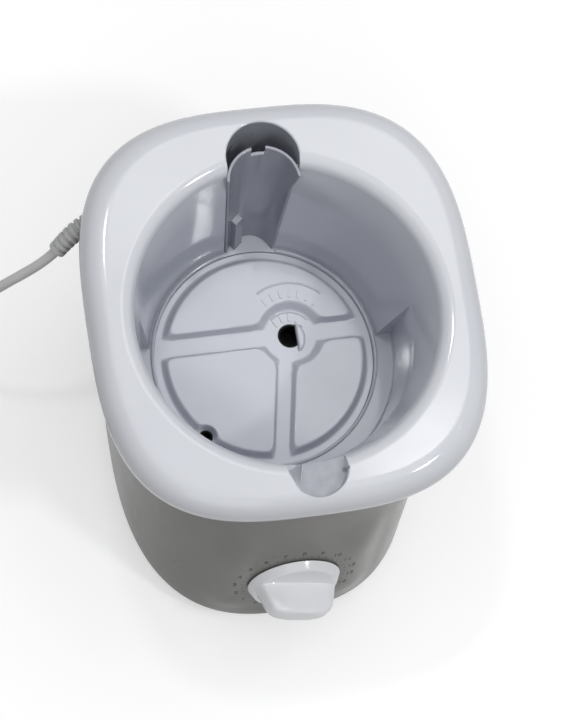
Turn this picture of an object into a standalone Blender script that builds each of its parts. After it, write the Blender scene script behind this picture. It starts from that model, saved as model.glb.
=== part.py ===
"""Wax warmer pot: a rounded-square housing with a heated well, a fill chute, a pour notch and a 0-15 dial.

Lengths are millimetres until a mesh is made. Heights under the rim are negative, and the well's axis is
x = y = 0; place() moves both to the part's own frame, where the table is z = 0.
"""

import math

import bmesh
import bpy
from mathutils import Matrix, Vector

MM = 0.001
RIM_TOP = 187.0  # height of the rim's flat top above the table
AXIS_Y = 16.6  # the well's axis, so that the body's box is centred on the origin

# Rim and well
RIM_HALF_X, RIM_HALF_Y, RIM_POWER, RIM_CENTRE_Y = 112.0, 119.7, 3.05, 5.2
ROLL_IN, ROLL_DOWN, SKIN = 14.0, 15.0, 2.6
LIP_RADIUS, LIP_FLAT_RADIUS = 9.0, 95.0
WALL_FOOT_REAR, WALL_FOOT_FRONT = 69.0, 78.0
WALL_MERGE_RADIUS, WALL_MERGE_Z = 80.4, -38.0  # above this line the front wall is part of the same cone
STEP_Y_RIGHT, STEP_Y_LEFT = 6.0, 15.0
LEDGE_Z, WELL_FOOT_Z = -98.9, -102.5
BEAD_INNER, BEAD_OUTER, BEAD_Z = 65.9, 67.9, -97.7
GAP = 0.3

# Chute at the rear and notch at the front
CHUTE_FLOOR, CHUTE_TOP = (1.0, 62.0, 15.5, -100.0), (-0.8, 78.3, 21.3, -6.0)  # x, y, radius, z
CHUTE_SKIN, CHUTE_LIP_Z = 1.6, -6.0
POCKET_X, POCKET_TOP, POCKET_FLOOR = -0.5, (91.0, 21.0, -1.5), (87.0, 20.2, -62.0)  # y, radius, z
NOTCH_X, NOTCH_Y, NOTCH_RADIUS = 3.0, -89.0, 17.5
SHELF_Z, GUTTER_X, GUTTER_HALF, GUTTER_REACH, GUTTER_FLOOR_Z = -6.0, -9.7, 4.7, 10.3, -58.0

# Well floor
FLOOR_Z, PLATEAU_Z, FLOOR_SKIN = -100.6, -95.0, 3.4
PLATEAU_FOOT_RADIUS, PLATEAU_TOP_RADIUS = 61.4, 58.8
HUB_X, HUB_Y, HUB_FOOT_RADIUS, HUB_TOP_RADIUS, HUB_HOLE = 17.5, 11.6, 16.2, 19.8, 7.2
CHANNEL_LOW_Y, CHANNEL_HIGH_Y, CHANNEL_DRAFT = 6.2, 17.8, 0.8
FRONT_CHANNEL_WIDTH, FRONT_CHANNEL_END = 9.4, (0.6, -62.0)
DRAIN_X, DRAIN_Y, DRAIN_HOLE = -42.0, -43.4, 4.2
ARC_INNER, ARC_OUTER, ARC_FROM, ARC_TO = 23.0, 31.6, 53.0, 122.0

# Body
BODY_TOP = (94.8, 111.5, 6.5, 2.23, -17.7)  # half x, half y, centre y, power, z
BODY_FOOT = (91.2, 121.4, -19.6, 2.6, -170.8)
BODY_RIM_Z, BODY_EDGE, BODY_SKIN, BODY_BOTTOM_Z = -7.6, 13.2, 2.5, -184.0
FACE_HALF, FACE_FADE, FACE_SHARE = 30.0, 55.0, 0.85  # the front is nearly flat this far from the dial's line
FACE_LEVELS = (-60.0, -100.0, -148.0)  # it starts at the first, is fully flat between the others

# Dial
DIAL_Y, DIAL_Z, FACE_LEAN = -130.1, -124.0, math.radians(13.2)
KNOB_RADIUS, KNOB_REST_TURN = 27.2, 65.0  # the grip points 65 degrees left of the top at rest
SHAFT_RADIUS, BUSHING_RADIUS, FACE_HOLE_RADIUS = 3.0, 3.8, 4.2

# Under the body
POST_X, POST_Y, FOOT_X, FOOT_Y, FOOT_RADIUS = 54.0, 78.0, 60.0, 60.0, 8.0

# Cord
CORD_RADIUS, CORD_INLET_X = 3.0, -22.0
COIL_X, COIL_Y, COIL_INNER, COIL_OUTER, COIL_HEIGHT = -210.5, -8.0, 27.9, 40.3, 18.6

STATIONS = 44


# ---------------------------------------------------------------- making meshes

def look(name, colour, roughness, metallic=0.0):
    material = bpy.data.materials.new(name)
    material.use_nodes = True
    shader = material.node_tree.nodes["Principled BSDF"]
    shader.inputs["Base Color"].default_value = (*colour, 1.0)
    shader.inputs["Roughness"].default_value = roughness
    shader.inputs["Metallic"].default_value = metallic
    material.diffuse_color = (*colour, 1.0)
    return material


def place(point):
    x, y, z = point
    return Vector((x, y + AXIS_Y, z + RIM_TOP)) * MM


def solid(name, points, faces, matrix=None):
    """A closed mesh object; with a matrix its points are local millimetres, else place() moves them."""
    mesh = bpy.data.meshes.new(name)
    where = [Vector(p) * MM for p in points] if matrix else [place(p) for p in points]
    mesh.from_pydata(where, [], faces)
    face_outwards(mesh)
    made = bpy.data.objects.new(name, mesh)
    bpy.context.collection.objects.link(made)
    if matrix:
        made.matrix_world = matrix
    return made


def face_outwards(mesh):
    work = bmesh.new()
    work.from_mesh(mesh)
    bmesh.ops.recalc_face_normals(work, faces=work.faces)
    if work.calc_volume(signed=True) < 0:
        bmesh.ops.reverse_faces(work, faces=work.faces)
    work.to_mesh(mesh)
    work.free()


def loft(rings, closed=False):
    """Points and faces through rings of equal length, capped at both ends unless they close on themselves."""
    count = len(rings[0])
    points = [p for ring in rings for p in ring]
    faces = []
    for i in range(len(rings) if closed else len(rings) - 1):
        here, there = i * count, (i + 1) % len(rings) * count
        for j in range(count):
            k = (j + 1) % count
            faces.append((here + j, here + k, there + k, there + j))
    if not closed:
        faces.append(tuple(range(count)))
        faces.append(tuple(range(len(points) - count, len(points))))
    return points, faces


def boolean(target, tool, operation="DIFFERENCE"):
    """The target with the tool cut away or joined on; the tool is used up."""
    change = target.modifiers.new("change", "BOOLEAN")
    change.object = tool
    change.operation = operation
    change.solver = "EXACT"
    bpy.context.view_layer.update()
    result = target.evaluated_get(bpy.context.evaluated_depsgraph_get())
    mesh = bpy.data.meshes.new_from_object(result)
    target.modifiers.clear()
    target.data = mesh
    bpy.data.objects.remove(tool)
    return target


def finish(made, material, crease=32.0):
    """One material, and smooth shading with the edges sharper than the crease kept hard."""
    mesh = made.data
    mesh.materials.clear()
    mesh.materials.append(material)
    work = bmesh.new()
    work.from_mesh(mesh)
    for face in work.faces:
        face.smooth = True
        face.material_index = 0
    for edge in work.edges:
        edge.smooth = len(edge.link_faces) == 2 and edge.calc_face_angle(math.pi) < math.radians(crease)
    work.to_mesh(mesh)
    work.free()
    return made


def circle(radius, z, centre=(0.0, 0.0), count=24):
    turns = [2 * math.pi * i / count for i in range(count)]
    return [(centre[0] + radius * math.cos(t), centre[1] + radius * math.sin(t), z) for t in turns]


def cylinder(name, radius, low, high, centre=(0.0, 0.0), count=24, matrix=None):
    rings = [circle(radius, low, centre, count), circle(radius, high, centre, count)]
    return solid(name, *loft(rings), matrix)


def block(name, low, high, matrix=None):
    (x0, y0, z0), (x1, y1, z1) = low, high
    rings = [[(x0, y0, z), (x1, y0, z), (x1, y1, z), (x0, y1, z)] for z in (z0, z1)]
    return solid(name, *loft(rings), matrix)


def lathe(name, profile, centre=(0.0, 0.0), count=48, matrix=None):
    """A solid turned from a profile of (radius, z) that starts and ends on the axis."""
    inner = profile[1:-1]
    points, faces = loft([circle(r, z, centre, count) for r, z in inner])
    faces = faces[:-2]
    for pole, ring in ((profile[0], 0), (profile[-1], len(inner) - 1)):
        points.append((centre[0], centre[1], pole[1]))
        tip, start = len(points) - 1, ring * count
        faces += [(start + j, start + (j + 1) % count, tip) for j in range(count)]
    return solid(name, points, faces, matrix)


def turned_ring(name, profile, centre=(0.0, 0.0), count=48):
    """A solid turned from a closed profile of (radius, z) that stays off the axis."""
    return solid(name, *loft([circle(r, z, centre, count) for r, z in profile], closed=True))


def tube(name, route, radius, sides=10):
    """A round tube through the route's points with flat ends; radius is one number, or one for each point."""
    radii = radius if isinstance(radius, (list, tuple)) else [radius] * len(route)
    line = [Vector(p) for p in route]
    rings = []
    side = None
    for i, here in enumerate(line):
        ahead = (line[min(i + 1, len(line) - 1)] - line[max(i - 1, 0)]).normalized()
        if side is None:
            side = ahead.orthogonal().normalized()
        side = (side - ahead * side.dot(ahead)).normalized()
        other = ahead.cross(side)
        turns = [2 * math.pi * j / sides for j in range(sides)]
        rings.append([tuple(here + radii[i] * (side * math.cos(t) + other * math.sin(t))) for t in turns])
    return solid(name, *loft(rings))


def curve_through(points, steps):
    """A smooth centripetal curve through hand-chosen points, each stretch cut into the same steps."""
    line = [Vector(p) for p in points]
    line = [2 * line[0] - line[1], *line, 2 * line[-1] - line[-2]]
    made = []
    for corners in zip(line, line[1:], line[2:], line[3:]):
        knots = [0.0]
        for p, q in zip(corners, corners[1:]):
            knots.append(knots[-1] + math.sqrt((q - p).length))
        for i in range(steps):
            made.append(pyramid_mix(corners, knots, knots[1] + (knots[2] - knots[1]) * i / steps))
    return [tuple(p) for p in [*made, line[-2]]]


def pyramid_mix(corners, knots, t):
    """The point at t on a centripetal curve, as a pyramid of straight mixes."""
    level = list(corners)
    for spans in (((0, 1), (1, 2), (2, 3)), ((0, 2), (1, 3)), ((1, 2),)):
        mixed = []
        for i, (low, high) in enumerate(spans):
            share = (t - knots[low]) / (knots[high] - knots[low])
            mixed.append(level[i] * (1 - share) + level[i + 1] * share)
        level = mixed
    return level[0]


# ---------------------------------------------------------------- outlines

def squircle(half_x, half_y, power, centre_y, z, angles):
    """A superellipse, its points at the given angles about its own centre."""
    ring = []
    for t in angles:
        c, s = math.cos(t), math.sin(t)
        reach = (abs(c / half_x) ** power + abs(s / half_y) ** power) ** (-1 / power)
        ring.append((reach * c, centre_y + reach * s, z))
    return ring


def even_angles(count=STATIONS):
    return [2 * math.pi * i / count for i in range(count)]


def well_angles():
    """Stations round the well, with a pair close together at each step of its wall."""
    right = math.asin(STEP_Y_RIGHT / WALL_FOOT_FRONT)
    left = math.pi - math.asin(STEP_Y_LEFT / WALL_FOOT_FRONT)
    half_step = math.radians(0.25)
    count = STATIONS // 2
    rear = [right + half_step + (left - right - 2 * half_step) * i / (count - 1) for i in range(count)]
    front_span = 2 * math.pi - left + right
    front = [left + half_step + (front_span - 2 * half_step) * i / (count - 1) for i in range(count)]
    return rear + front, count


WELL_ANGLES, REAR_COUNT = well_angles()


def rim_ring(inset, z):
    return squircle(RIM_HALF_X - inset, RIM_HALF_Y - inset, RIM_POWER, RIM_CENTRE_Y, z, WELL_ANGLES)


def well_ring(radius, z, out=0.0):
    """A ring of the well: a plain radius, or None for the wall's foot, whose front half is set back."""
    ring = []
    for i, t in enumerate(WELL_ANGLES):
        foot = WALL_FOOT_REAR if i < REAR_COUNT else WALL_FOOT_FRONT
        r = (foot if radius is None else radius) + out
        ring.append((r * math.cos(t), r * math.sin(t), z))
    return ring


def body_ring(z, inset=0.0):
    """The body's outline at a height: it leans forward and squares up on its way down."""
    share = min(max((z - BODY_TOP[4]) / (BODY_FOOT[4] - BODY_TOP[4]), 0.0), 1.0)
    half_x, half_y, centre_y, power = [a + (b - a) * share for a, b in zip(BODY_TOP[:4], BODY_FOOT[:4])]
    ring = squircle(half_x - inset, half_y - inset, power, centre_y, z, even_angles())
    start, full, last = FACE_LEVELS
    height = eased(z, start, full) * (1 - eased(z, last, BODY_FOOT[4]))
    front = centre_y - half_y + inset
    for i, (x, y, _) in enumerate(ring):
        if y < centre_y:
            flat = FACE_SHARE * height * (1 - eased(abs(x), FACE_HALF, FACE_FADE))
            ring[i] = (x, y - (y - front) * flat, z)
    return ring


def eased(value, start, stop):
    """From 0 at the start to 1 at the stop, level at both ends."""
    share = min(max((value - start) / (stop - start), 0.0), 1.0)
    return share * share * (3 - 2 * share)


def arch(centre, radius, front_y, z, steps=12, rear=1):
    """A half circle at the rear of its centre (at the front with rear=-1), with straight sides to front_y."""
    x, y = centre
    turns = [math.pi * i / steps for i in range(steps + 1)]
    ring = [(x + radius * math.cos(t), y + rear * radius * math.sin(t), z) for t in turns]
    return [*ring, (x - radius, front_y, z), (x + radius, front_y, z)]


def chute_at(z):
    """Centre and radius of the tapered chute at a height."""
    share = (z - CHUTE_FLOOR[3]) / (CHUTE_TOP[3] - CHUTE_FLOOR[3])
    x, y, radius = [a + (b - a) * share for a, b in zip(CHUTE_FLOOR[:3], CHUTE_TOP[:3])]
    return (x, y), radius


def chute_arch(z, out, front_y):
    centre, radius = chute_at(z)
    return arch(centre, radius + out, front_y, z)


# ---------------------------------------------------------------- the well housing

def roll(inset, depth, reach, z, turns=(90, 68, 46, 23, 0)):
    """Rings of the rim's rolled edge, from the widest line up to its flat top."""
    rings = []
    for degrees in turns:
        t = math.radians(degrees)
        rings.append(rim_ring(inset + reach * (1 - math.sin(t)), z - depth * (1 - math.cos(t))))
    return rings


def housing_block():
    """The housing before its cavity is cut: the well's outside, the flange's hollow underside, the roll."""
    rings = [well_ring(None, WELL_FOOT_Z, SKIN - 1.0), well_ring(None, WELL_FOOT_Z + 1.2, SKIN)]
    rings += [well_ring(None, LEDGE_Z + 2.0, SKIN), well_ring(WALL_MERGE_RADIUS, WALL_MERGE_Z, SKIN)]
    for degrees in (0, 30, 60, 90):
        t = math.radians(degrees)
        inner = LIP_RADIUS - SKIN
        rings.append(well_ring(LIP_FLAT_RADIUS - inner * math.cos(t), -LIP_RADIUS + inner * math.sin(t)))
    under = roll(SKIN + 0.4, ROLL_DOWN - SKIN, ROLL_IN - SKIN - 0.4, -SKIN, (90, 60, 30, 0))
    rings += reversed(under)
    rings += [rim_ring(4.3, -21.5), rim_ring(3.4, -23.0), rim_ring(1.7, -22.0)]
    rings.append(rim_ring(0.5, -19.0))
    rings += roll(0.0, ROLL_DOWN, ROLL_IN, 0.0)
    return solid("well_housing", *loft(rings))


def well_cavity(name="well_cavity"):
    """The space inside the well: floor opening, bead, ledge, drafted wall and rounded lip."""
    rings = [well_ring(BEAD_INNER, WELL_FOOT_Z - 2.0), well_ring(BEAD_INNER, BEAD_Z - 0.8)]
    rings += [well_ring(BEAD_INNER + 0.5, BEAD_Z), well_ring(BEAD_OUTER - 0.5, BEAD_Z)]
    rings += [well_ring(BEAD_OUTER, LEDGE_Z), well_ring(None, LEDGE_Z, -0.8)]
    rings += [well_ring(None, LEDGE_Z + 0.6, -0.3), well_ring(None, LEDGE_Z + 2.0)]
    rings.append(well_ring(WALL_MERGE_RADIUS, WALL_MERGE_Z))
    for degrees in (0, 20, 40, 60, 80):
        t = math.radians(degrees)
        rings.append(well_ring(LIP_FLAT_RADIUS - LIP_RADIUS * math.cos(t), LIP_RADIUS * (math.sin(t) - 1)))
    rings += [well_ring(LIP_FLAT_RADIUS + 0.8, 0.25), well_ring(LIP_FLAT_RADIUS + 1.0, 6.0)]
    return solid(name, *loft(rings))


def notch_bed(z, radius=NOTCH_RADIUS):
    return arch((NOTCH_X, NOTCH_Y), radius, -70.0, z, rear=-1)


def pocket_arches(grow, front_y, below):
    """The pocket's lower and upper outlines, grown sideways, the lower one moved down."""
    (low_y, low_radius, low_z), (high_y, high_radius, high_z) = POCKET_FLOOR, POCKET_TOP
    low = arch((POCKET_X, low_y), low_radius + grow, low_y + front_y, low_z - below)
    high = arch((POCKET_X, high_y), high_radius + grow, high_y + front_y, high_z)
    return low, high


def make_well_housing(plastic):
    """Flange, rolled edge and well in one moulding, with the chute's slot, its pocket and the pour notch."""
    housing = housing_block()
    chute_wall = [chute_arch(z, CHUTE_SKIN + 1.2, 58.0) for z in (WELL_FOOT_Z, -1.5)]
    boolean(housing, solid("chute_wall", *loft(chute_wall)), "UNION")
    pocket_wall = pocket_arches(2.0, -19.0, 2.0)
    boolean(housing, solid("pocket_wall", *loft(pocket_wall)), "UNION")
    bed = [notch_bed(-10.0, 19.4), notch_bed(-3.5, 19.4), notch_bed(-1.2, 15.0)]
    boolean(housing, solid("notch_wall", *loft(bed)), "UNION")
    gutter = (GUTTER_X - GUTTER_HALF - 2.0, NOTCH_Y - GUTTER_REACH - 2.0, GUTTER_FLOOR_Z - 2.0)
    gutter_wall = block("gutter_wall", gutter, (GUTTER_X + GUTTER_HALF + 2.0, -70.0, -1.3))
    boolean(housing, gutter_wall, "UNION")
    boolean(housing, well_cavity())

    slot = [chute_arch(z, GAP, 40.0) for z in (LEDGE_Z, 4.0)]
    boolean(housing, solid("chute_slot", *loft(slot)))
    boolean(housing, solid("pocket", *loft(pocket_arches(0.0, -3.0, 0.0))))
    mouth = [arch((POCKET_X, POCKET_TOP[0]), POCKET_TOP[1], 60.0, z) for z in (-9.0, 3.0)]
    boolean(housing, solid("chute_mouth", *loft(mouth)))

    shelf = [[(x, y, SHELF_Z - 0.12 * (y + 106.0)) for x, y, _ in notch_bed(0.0)], notch_bed(3.0)]
    boolean(housing, solid("shelf", *loft(shelf)))
    gutter = []
    for z in (GUTTER_FLOOR_Z, 3.0):
        ring = arch((GUTTER_X, NOTCH_Y), GUTTER_HALF, -66.0, z, rear=-1)
        for i, (x, y, height) in enumerate(ring[:-2]):
            ring[i] = (x, NOTCH_Y + (y - NOTCH_Y) * GUTTER_REACH / GUTTER_HALF, height)
        gutter.append(ring)
    boolean(housing, solid("gutter", *loft(gutter)))
    boolean(housing, cylinder("shelf_groove", 1.6, -9.0, 3.0, (18.4, -91.5), 12))
    return finish(housing, plastic)


def make_chute_partition(plastic):
    """The tapered half tube that stands in the chute's slot and closes it off from the pocket behind."""
    rings = []
    for z in (LEDGE_Z + GAP, CHUTE_LIP_Z):
        (x, y), radius = chute_at(z)
        ring = []
        for reach, start, stop in ((radius, -20, 200), (radius - CHUTE_SKIN, 200, -20)):
            for i in range(21):
                t = math.radians(start + (stop - start) * i / 20)
                ring.append((x + reach * math.cos(t), y + reach * math.sin(t), z))
        rings.append(ring)
    partition = solid("chute_partition", *loft(rings))
    boolean(partition, well_cavity("partition_trim"))
    boolean(partition, cylinder("bead_room", WALL_FOOT_REAR + 0.2, -105.0, BEAD_Z + 0.6, count=STATIONS))
    boolean(partition, block("tool_notch", (-5.3, 90.0, -9.4), (2.9, 104.0, 0.0)))
    boolean(partition, key_rib(), "UNION")
    return finish(partition, plastic)


def key_rib():
    """A short locating rib up the left of the chute's inner face."""
    turn = math.radians(129)
    out = Vector((math.cos(turn), math.sin(turn), 0.0))
    across = Vector((-out.y, out.x, 0.0)) * 3.2
    rings = []
    for z in (LEDGE_Z + GAP, -70.0):
        (x, y), radius = chute_at(z)
        near, far = [Vector((x, y, z)) + out * (radius - reach) for reach in (5.6, 0.9)]
        rings.append([tuple(p) for p in (near - across, far - across, far + across, near + across)])
    return solid("key_rib", *loft(rings))


# ---------------------------------------------------------------- the well floor

def channel(name, start, end, width, margin=0.6):
    """A drafted channel cutter between two points of the floor, a little longer than them."""
    a, b = Vector((*start, 0.0)), Vector((*end, 0.0))
    along = (b - a).normalized()
    across = Vector((-along.y, along.x, 0.0))
    rings = []
    top_grow = CHANNEL_DRAFT * (1 + margin / (PLATEAU_Z - FLOOR_Z))
    for z, grow in ((FLOOR_Z, 0.0), (PLATEAU_Z + margin, top_grow)):
        half = across * (width / 2 + grow)
        height = Vector((0.0, 0.0, z))
        rings.append([tuple(p + height) for p in (a - half, b - half, b + half, a + half)])
    return solid(name, *loft(rings))


def raised_arc(name, inner, outer, start, stop, low, high, steps=14):
    """A flat band along part of a circle about the hub."""
    turns = [math.radians(start + (stop - start) * i / steps) for i in range(steps + 1)]
    edge = [(HUB_X + outer * math.cos(t), HUB_Y + outer * math.sin(t)) for t in turns]
    edge += [(HUB_X + inner * math.cos(t), HUB_Y + inner * math.sin(t)) for t in reversed(turns)]
    return solid(name, *loft([[(x, y, z) for x, y in edge] for z in (low, high)]))


def level_bar(name, degrees, inner, outer, width, low, high):
    """A plain raised bar that points at the hub."""
    t = math.radians(degrees)
    turn = Matrix.Rotation(t, 3, "Z")
    corners = [(inner, -width / 2), (outer, -width / 2), (outer, width / 2), (inner, width / 2)]
    rings = []
    for z in (low, high):
        spots = [turn @ Vector((x, y, 0.0)) for x, y in corners]
        rings.append([(HUB_X + p.x, HUB_Y + p.y, z) for p in spots])
    return solid(name, *loft(rings))


def make_well_floor(plastic):
    """Floor plate with three drafted plateaus, channels that meet at the hub, and level marks."""
    under = FLOOR_Z - FLOOR_SKIN
    profile = [(0.0, PLATEAU_Z), (PLATEAU_TOP_RADIUS, PLATEAU_Z), (PLATEAU_FOOT_RADIUS, FLOOR_Z)]
    profile += [(BEAD_INNER - GAP, FLOOR_Z), (BEAD_INNER - GAP, WELL_FOOT_Z - GAP), (71.0, WELL_FOOT_Z - GAP)]
    profile += [(71.0, WELL_FOOT_Z - 3.0), (62.0, WELL_FOOT_Z - 3.0), (60.5, under), (0.0, under)]
    floor = lathe("well_floor", profile, count=STATIONS)

    middle = (CHANNEL_LOW_Y + CHANNEL_HIGH_Y) / 2
    width = CHANNEL_HIGH_Y - CHANNEL_LOW_Y
    boolean(floor, channel("left_channel", (-68.0, middle), (HUB_X, middle), width))
    boolean(floor, channel("right_channel", (HUB_X, middle), (68.0, middle), width))
    boolean(floor, channel("front_channel", (HUB_X - 2.0, HUB_Y), FRONT_CHANNEL_END, FRONT_CHANNEL_WIDTH))
    margin = (HUB_TOP_RADIUS - HUB_FOOT_RADIUS) * 0.6 / (PLATEAU_Z - FLOOR_Z)
    hub = [circle(HUB_FOOT_RADIUS, FLOOR_Z, (HUB_X, HUB_Y), 32)]
    hub.append(circle(HUB_TOP_RADIUS + margin, PLATEAU_Z + 0.6, (HUB_X, HUB_Y), 32))
    boolean(floor, solid("hub_dish", *loft(hub)))
    boolean(floor, cylinder("drain_relief", 6.0, FLOOR_Z, 0.0, (DRAIN_X, DRAIN_Y), 16))

    boss = arch((21.2, 10.0), 8.4, 10.0, 0.0)
    boss = [(21.2 + (y - 10.0) * 0.62, 10.0 + (x - 21.2), 0.0) for x, y, _ in boss[:-2]]
    boss = [[(x, y, z) for x, y, _ in boss] for z in (FLOOR_Z - 0.1, FLOOR_Z + 3.4)]
    boolean(floor, cylinder("hub_hole", HUB_HOLE, -110.0, -90.0, (HUB_X, HUB_Y), 24))
    boolean(floor, solid("hub_boss", *loft(boss)), "UNION")
    boolean(floor, cylinder("drain_hole", DRAIN_HOLE, -110.0, -90.0, (DRAIN_X, DRAIN_Y), 16))

    low, high = PLATEAU_Z - 0.5, PLATEAU_Z + 0.5
    arc = raised_arc("full_arc", ARC_OUTER - 0.8, ARC_OUTER, ARC_FROM, ARC_TO, low, high)
    boolean(floor, arc, "UNION")
    for degrees in (58, 72, 87, 102, 117):
        bar = level_bar("full_bar", degrees, ARC_INNER + 0.6, ARC_OUTER - 1.8, 1.2, low, high)
        boolean(floor, bar, "UNION")
    for degrees in (40, 62, 84, 106, 128):
        bar = level_bar("empty_bar", degrees, 9.6, 14.0, 1.0, FLOOR_Z - 0.5, FLOOR_Z + 0.5)
        boolean(floor, bar, "UNION")
    return finish(floor, plastic)


def make_sleeve(name, material, centre, hole, floor_z, flange):
    """A closed black cup in a hole of the floor, with a collar under the floor where it has room for one."""
    radius = hole - GAP
    top, under = FLOOR_Z - 0.4, FLOOR_Z - FLOOR_SKIN - GAP
    profile = [(0.0, floor_z), (radius, floor_z)]
    if flange:
        profile += [(radius, under - 1.6), (radius + 1.8, under - 1.6), (radius + 1.8, under)]
        profile.append((radius, under))
    profile += [(radius, top), (radius - 0.9, top), (radius - 0.9, floor_z + 1.0), (0.0, floor_z + 1.0)]
    return finish(lathe(name, profile, centre, 20), material)


# ---------------------------------------------------------------- the body

def body_solid(name, inset, above=0.0):
    """The body as a solid, its walls moved in by inset; the foot's edge is rounded."""
    levels = [BODY_RIM_Z + above, BODY_TOP[4], *FACE_LEVELS, BODY_FOOT[4]]
    rings = [body_ring(z, inset) for z in levels]
    for degrees in (30, 60, 90):
        t = math.radians(degrees)
        edge = BODY_EDGE - inset
        outline = body_ring(BODY_FOOT[4], inset + edge * (1 - math.cos(t)))
        rings.append([(x, y, BODY_FOOT[4] - edge * math.sin(t)) for x, y, _ in outline])
    return solid(name, *loft(rings))


def make_body_shell(plastic):
    """The open shell with posts and webs inside, a hole for the dial's bushing and one for the cord."""
    shell = body_solid("body_shell", 0.0)
    boolean(shell, body_solid("body_hollow", BODY_SKIN, 4.0))
    outline = body_ring(BODY_FOOT[4], BODY_EDGE + 0.2)
    opening = [[(x, y, z) for x, y, _ in outline] for z in (BODY_BOTTOM_Z - 2.0, BODY_BOTTOM_Z + 4.0)]
    boolean(shell, solid("foot_opening", *loft(opening)))
    for x, y in corner_spots(POST_X, POST_Y):
        boolean(shell, screw_post(x, y), "UNION")
        boolean(shell, cylinder("pilot_hole", 1.8, -185.0, -164.0, (x, y), 12))
    boolean(shell, cylinder("bushing_hole", FACE_HOLE_RADIUS, -12.0, 12.0, matrix=dial_matrix(), count=24))
    boolean(shell, tube("cord_hole", [CORD_EXIT[0], CORD_EXIT[1]], 7.8, 20))
    boolean(shell, block("notch_room", (-18.5, -125.0, -11.0), (25.0, -90.0, 0.0)))
    return finish(shell, plastic)


def screw_post(x, y):
    """A post for one base screw, tied to the body's corner by a web."""
    post = cylinder("post", 4.5, -180.4, -150.0, (x, y), 16)
    start = Vector((x, y, 0.0))
    away = Vector((x, y - BODY_FOOT[2], 0.0)).normalized()
    end = start + away * 34.0
    across = Vector((-away.y, away.x, 0.0)) * 1.2
    corners = (start - across, end - across, end + across, start + across)
    web = [[(p.x, p.y, z) for p in corners] for z in (-178.0, -152.0)]
    boolean(post, solid("web", *loft(web)), "UNION")
    return boolean(post, body_solid("body_bound", 1.2), "INTERSECT")


def corner_spots(x, y):
    return [(sx * x, BODY_FOOT[2] + sy * y) for sy in (-1, 1) for sx in (-1, 1)]


def make_base_plate(plastic):
    """The plate that closes the body from below, with vents, screw holes and holes for the feet's stems."""
    outline = body_ring(BODY_FOOT[4], BODY_EDGE + 0.5)
    rings = [[(x, y, z) for x, y, _ in outline] for z in (-183.6, -180.9)]
    plate = solid("base_plate", *loft(rings))
    for i in range(-3, 4):
        boolean(plate, vent_cutter(i * 9.0))
    for x, y in corner_spots(POST_X, POST_Y):
        boolean(plate, cylinder("screw_hole", 2.2, -190.0, -175.0, (x, y), 12))
    for x, y in corner_spots(FOOT_X, FOOT_Y):
        boolean(plate, cylinder("stem_hole", 3.3, -190.0, -175.0, (x, y), 12))
    return finish(plate, plastic)


def vent_cutter(x):
    """A slot with round ends, through the base plate from front to rear."""
    rings = []
    for z in (-190.0, -175.0):
        ring = []
        for side in (1, -1):
            for k in range(6):
                t = math.pi * k / 5
                y = BODY_FOOT[2] + side * (20.0 + 1.8 * math.sin(t))
                ring.append((x + side * 1.8 * math.cos(t), y, z))
        rings.append(ring)
    return solid("vent", *loft(rings))


def make_feet_and_screws(rubber, steel):
    names = ("front_left", "front_right", "rear_left", "rear_right")
    for name, (x, y) in zip(names, corner_spots(FOOT_X, FOOT_Y)):
        profile = [(0.0, -RIM_TOP), (FOOT_RADIUS - 0.8, -RIM_TOP), (FOOT_RADIUS, -186.2)]
        profile += [(FOOT_RADIUS, -183.9), (3.0, -183.9), (3.0, -179.8), (0.0, -179.8)]
        finish(lathe("foot_" + name, profile, (x, y), 20), rubber)
    for name, (x, y) in zip(names, corner_spots(POST_X, POST_Y)):
        profile = [(0.0, -185.9), (2.6, -185.9), (3.6, -185.0), (3.6, -183.9), (1.5, -183.9)]
        profile += [(1.5, -168.5), (0.0, -167.0)]
        screw = lathe("base_screw_" + name, profile, (x, y), 12)
        for turn in (0, 90):
            spin = Matrix.Translation(place((x, y, -185.9))) @ Matrix.Rotation(math.radians(turn), 4, "Z")
            boolean(screw, block("cross_slot", (-2.0, -0.4, -1.0), (2.0, 0.4, 0.9), spin))
        finish(screw, steel)


# ---------------------------------------------------------------- the dial

def dial_matrix():
    """The dial's own frame: x to the right, y up the face, z straight out of it."""
    right = Vector((1.0, 0.0, 0.0))
    up = Vector((0.0, math.sin(FACE_LEAN), math.cos(FACE_LEAN)))
    out = right.cross(up)
    turn = Matrix((right, up, out)).transposed().to_4x4()
    return Matrix.Translation(place((0.0, DIAL_Y, DIAL_Z))) @ turn


def make_dial_knob(plastic):
    """The skirt, hollow behind, with a domed grip bar across it and a groove beside the bar."""
    axis = dial_matrix()
    rest = axis @ Matrix.Rotation(math.radians(KNOB_REST_TURN), 4, "Z")
    profile = [(0.0, 8.0), (24.6, 8.0), (26.2, 7.3), (26.9, 6.0), (KNOB_RADIUS, 1.0), (24.4, 1.0)]
    knob = lathe("dial_knob", [*profile, (24.4, 4.8), (0.0, 4.8)], count=40, matrix=rest)
    levels = ((6.0, 22.4, 8.4), (8.6, 21.6, 7.6), (18.0, 20.6, 6.9), (22.0, 19.4, 6.4), (24.8, 17.4, 5.6),
              (26.6, 14.4, 4.2), (27.4, 10.5, 2.4))
    bar = [squircle(half_y, half_x, 4.5, 0.0, z, even_angles(24)) for z, half_x, half_y in levels]
    boolean(knob, solid("grip_bar", *loft(bar), rest), "UNION")
    boolean(knob, block("grip_groove", (8.9, 8.0, 6.6), (10.9, 17.0, 9.0), rest))
    boolean(knob, cylinder("shaft_socket", SHAFT_RADIUS + GAP, 0.0, 20.0, count=24, matrix=rest))
    knob.location = rest.translation
    return finish(knob, plastic)


def make_dial_shaft(steel):
    """The steel shaft that the knob is pushed onto; it runs in the control's bushing."""
    shaft = cylinder("dial_shaft", SHAFT_RADIUS, -20.0, 19.0, count=32, matrix=dial_matrix())
    return finish(shaft, steel)


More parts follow.
